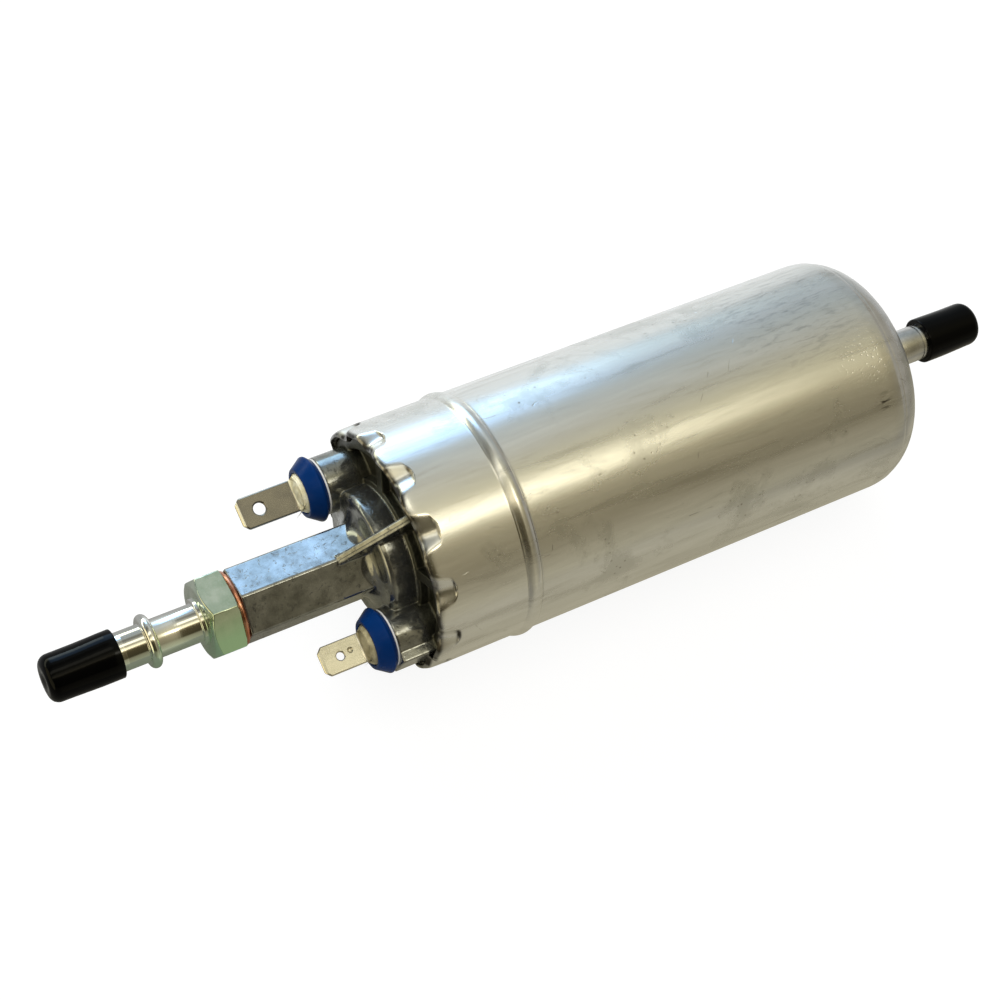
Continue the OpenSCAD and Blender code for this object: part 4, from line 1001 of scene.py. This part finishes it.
def glow_share(tree, angle, station, glow):
    """How much of a glow is seen at an angle and a station of the wall."""
    middle, half, soft, front, start, end, colour = glow
    off = add(tree, "ShaderNodeMath", {0: angle, 1: math.radians(middle)}, operation="SUBTRACT")
    side = add(tree, "ShaderNodeMath", {0: off.outputs[0]}, operation="ABSOLUTE")
    round_it = add(tree, "ShaderNodeMapRange", {"Value": side.outputs[0],
                   "From Min": math.radians(half), "From Max": math.radians(half + soft),
                   "To Min": 1.0, "To Max": 0.0}, interpolation_type="SMOOTHSTEP")
    along = add(tree, "ShaderNodeMapRange", {"Value": station, "From Min": start,
                "From Max": end, "To Min": 1.0, "To Max": 0.0},
                interpolation_type="SMOOTHSTEP")
    begin = add(tree, "ShaderNodeMapRange", {"Value": station, "From Min": front - 0.2,
                "From Max": front})
    length = add(tree, "ShaderNodeMath", {0: begin.outputs[0], 1: along.outputs[0]},
                 operation="MULTIPLY")
    share = add(tree, "ShaderNodeMath", {0: round_it.outputs[0], 1: length.outputs[0]},
                operation="MULTIPLY")
    return share.outputs[0], colour + (1.0,)


def studio_walls():
    """Round tent about the pump's axis: a cool window low at +Y, a warm light overhead and
    dim warm walls at -Y. Its two ends are plain cards."""
    steps, radius, half = 120, 0.9, 1.3
    angles = [2 * math.pi * k / steps for k in range(steps)]
    ring = [(radius * math.cos(a), radius * math.sin(a)) for a in angles]
    points = [(x, y, z) for x in (-half, half) for y, z in ring]
    faces = [(k, (k + 1) % steps, steps + (k + 1) % steps, steps + k) for k in range(steps)]
    faces += [tuple(range(steps)), tuple(range(2 * steps - 1, steps - 1, -1))]
    mesh = bpy.data.meshes.new("studio_walls")
    mesh.from_pydata(points, [], faces)
    tent = bpy.data.objects.new("studio_walls", mesh)
    bpy.context.scene.collection.objects.link(tent)

    round_wall = bpy.data.materials.new("painted_walls")
    round_wall.use_nodes = True
    tree = round_wall.node_tree
    tree.nodes.clear()
    where = add(tree, "ShaderNodeTexCoord").outputs["Object"]
    parts = add(tree, "ShaderNodeSeparateXYZ", {"Vector": where})
    angle = add(tree, "ShaderNodeMath", {0: parts.outputs["Z"], 1: parts.outputs["Y"]},
                operation="ARCTAN2").outputs[0]
    turn = add(tree, "ShaderNodeMapRange", {"Value": angle, "From Min": -math.pi,
               "From Max": math.pi})
    paint = add(tree, "ShaderNodeValToRGB", {"Fac": turn.outputs[0]},
                [((a + 180) / 360, linear(c)) for a, c in WALLS])
    # the walls are a little dimmer behind the pump, and darker in front of it
    levels = [(0.0, grey(0.42)), (0.3, grey(0.5)), (0.47, grey(0.8)), (0.515, grey(0.9)),
              (0.535, grey(1.0)), (0.58, grey(1.03)), (0.74, grey(0.76)), (1.0, grey(0.7))]
    along = add(tree, "ShaderNodeMapRange", {"Value": parts.outputs["X"], "From Min": -half,
                "From Max": half})
    away = add(tree, "ShaderNodeValToRGB", {"Fac": along.outputs[0]}, levels)
    lit = add(tree, "ShaderNodeMix", {0: 1.0, 6: paint.outputs[0], 7: away.outputs[0]},
              data_type="RGBA", blend_type="MULTIPLY").outputs[2]
    for blend, group in (("ADD", GLOWS), ("MULTIPLY", BEAMS)):
        for glow in group.values():
            share, colour = glow_share(tree, angle, parts.outputs["X"], glow)
            lit = add(tree, "ShaderNodeMix", {0: share, 6: lit, 7: colour}, data_type="RGBA",
                      blend_type=blend).outputs[2]
    shine = add(tree, "ShaderNodeEmission", {"Color": lit, "Strength": 1.0})
    out = add(tree, "ShaderNodeOutputMaterial")
    tree.links.new(shine.outputs[0], out.inputs["Surface"])
    mesh.materials.append(round_wall)

    # end cards: the front one is dim with a pale strip at the pump's height
    strips = {"front_card": [(0.0, linear("#77756c")), (0.44, linear("#77756c")),
                             (0.47, linear("#ffefbe")), (0.8, linear("#ffefbe")),
                             (0.86, linear("#77756c")), (1.0, linear("#5f5d56"))],
              "rear_card": [(0.0, linear("#807c72")), (1.0, linear("#8d8b84"))]}
    for name, strip in strips.items():
        card = bpy.data.materials.new(name)
        card.use_nodes = True
        tree = card.node_tree
        tree.nodes.clear()
        parts = add(tree, "ShaderNodeSeparateXYZ",
                    {"Vector": add(tree, "ShaderNodeTexCoord").outputs["Object"]})
        height = add(tree, "ShaderNodeMapRange", {"Value": parts.outputs["Z"],
                     "From Min": -radius, "From Max": radius})
        tones = add(tree, "ShaderNodeValToRGB", {"Fac": height.outputs[0]}, strip)
        shine = add(tree, "ShaderNodeEmission", {"Color": tones.outputs[0], "Strength": 1.4})
        out = add(tree, "ShaderNodeOutputMaterial")
        tree.links.new(shine.outputs[0], out.inputs["Surface"])
        mesh.materials.append(card)
    mesh.polygons[steps].material_index = 1
    mesh.polygons[steps + 1].material_index = 2

    tent.visible_camera = False
    tent.visible_diffuse = False
    tent.visible_transmission = False
    tent.visible_volume_scatter = False
    tent.visible_shadow = False


def pale_floor():
    """White floor that keeps the object's shadow. Metal sees painted light and shade on it:
    bright and cool under the window, a painted shadow just under the pump, and dim and warm
    on the far side."""
    low = CAD_BOX[0][2]
    bpy.ops.mesh.primitive_circle_add(vertices=96, radius=0.4, fill_type="NGON",
                                      location=(0, 0, low))
    floor = bpy.context.object
    floor.name = "floor"
    material = bpy.data.materials.new("pale_floor")
    material.use_nodes = True
    tree = material.node_tree
    tree.nodes.clear()
    path = add(tree, "ShaderNodeLightPath")
    pale = add(tree, "ShaderNodeBsdfDiffuse", {"Color": linear("#f2f1ee")})
    white = add(tree, "ShaderNodeEmission", {"Color": (1, 1, 1, 1), "Strength": 1.16})
    parts = add(tree, "ShaderNodeSeparateXYZ",
                {"Vector": add(tree, "ShaderNodeTexCoord").outputs["Object"]})
    across = add(tree, "ShaderNodeMapRange", {"Value": parts.outputs["Y"], "From Min": -0.4,
                 "From Max": 0.4})
    # painted shadow: the dark band near 0.495, just under the pump, stands for its contact shadow
    sheen = add(tree, "ShaderNodeValToRGB", {"Fac": across.outputs[0]},
                [(0.0, linear("#b0ab97")), (0.46, linear("#aca68e")), (0.495, linear("#8c8668")),
                 (0.535, linear("#f8fafb")), (0.62, linear("#eef4f5")), (1.0, linear("#f0f8fa"))])
    # painted shade: dimmer in front of the pump and behind it
    along = add(tree, "ShaderNodeMapRange", {"Value": parts.outputs["X"], "From Min": -0.4,
                "From Max": 0.4})
    lengthwise = add(tree, "ShaderNodeValToRGB", {"Fac": along.outputs[0]},
                     [(0.36, grey(0.36)), (0.445, grey(1.0)), (0.575, grey(1.0)),
                      (0.71, grey(0.45))])
    lengthwise.color_ramp.interpolation = "EASE"
    metal_sees = add(tree, "ShaderNodeEmission", {"Color": sheen.outputs[0],
                     "Strength": lengthwise.outputs[0]})
    for_camera = add(tree, "ShaderNodeMath", {0: path.outputs["Is Camera Ray"],
                     1: path.outputs["Is Transmission Ray"]}, operation="MAXIMUM")
    share = add(tree, "ShaderNodeMath", {0: for_camera.outputs[0], 1: 0.75},
                operation="MULTIPLY")
    gloss = add(tree, "ShaderNodeMath", {0: path.outputs["Is Glossy Ray"], 1: 0.85},
                operation="MULTIPLY")
    bright = add(tree, "ShaderNodeMixShader", {0: share.outputs[0], 1: pale.outputs[0],
                 2: white.outputs[0]})
    mix = add(tree, "ShaderNodeMixShader", {0: gloss.outputs[0], 1: bright.outputs[0],
              2: metal_sees.outputs[0]})
    out = add(tree, "ShaderNodeOutputMaterial")
    tree.links.new(mix.outputs[0], out.inputs["Surface"])
    floor.data.materials.append(material)


def soft_lamp(name, where, size, watts, colour):
    """Square area lamp that looks at the origin. Metal sees the studio's walls instead."""
    data = bpy.data.lights.new(name, "AREA")
    data.shape = "SQUARE"
    data.size = size
    data.energy = watts
    data.color = colour
    lamp = bpy.data.objects.new(name, data)
    lamp.location = where
    lamp.rotation_euler = (-Vector(where)).to_track_quat("-Z", "Y").to_euler()
    lamp.visible_glossy = False
    bpy.context.scene.collection.objects.link(lamp)


def photo_camera():
    """Camera at the photograph's viewing angle, fitted to the can's rims and the fittings."""
    data = bpy.data.cameras.new("camera")
    data.sensor_width = 36.0
    data.lens = 2.2303 * data.sensor_width
    data.clip_start = 0.01
    data.clip_end = 50.0
    camera = bpy.data.objects.new("camera", data)
    # the camera's own right, up and back, as fitted
    right = Vector((0.871331, -0.413035, 0.264922))
    up = Vector((0.338597, 0.896852, 0.284619))
    back = Vector((-0.355154, -0.158296, 0.921308))
    turn = Matrix((right, up, back)).transposed().to_4x4()
    camera.matrix_world = Matrix.Translation((-0.201951, -0.072588, 0.427253)) @ turn
    bpy.context.scene.collection.objects.link(camera)
    bpy.context.scene.camera = camera


studio_world()
studio_walls()
pale_floor()
soft_lamp("window_lamp", (-0.2, 1.2, 0.75), 0.7, 13.0, (0.93, 0.97, 1.0))
soft_lamp("ceiling_lamp", (-0.2, 0.1, 1.5), 0.9, 7.5, (1.0, 0.97, 0.92))
photo_camera()
bpy.context.scene.view_settings.view_transform = "Standard"
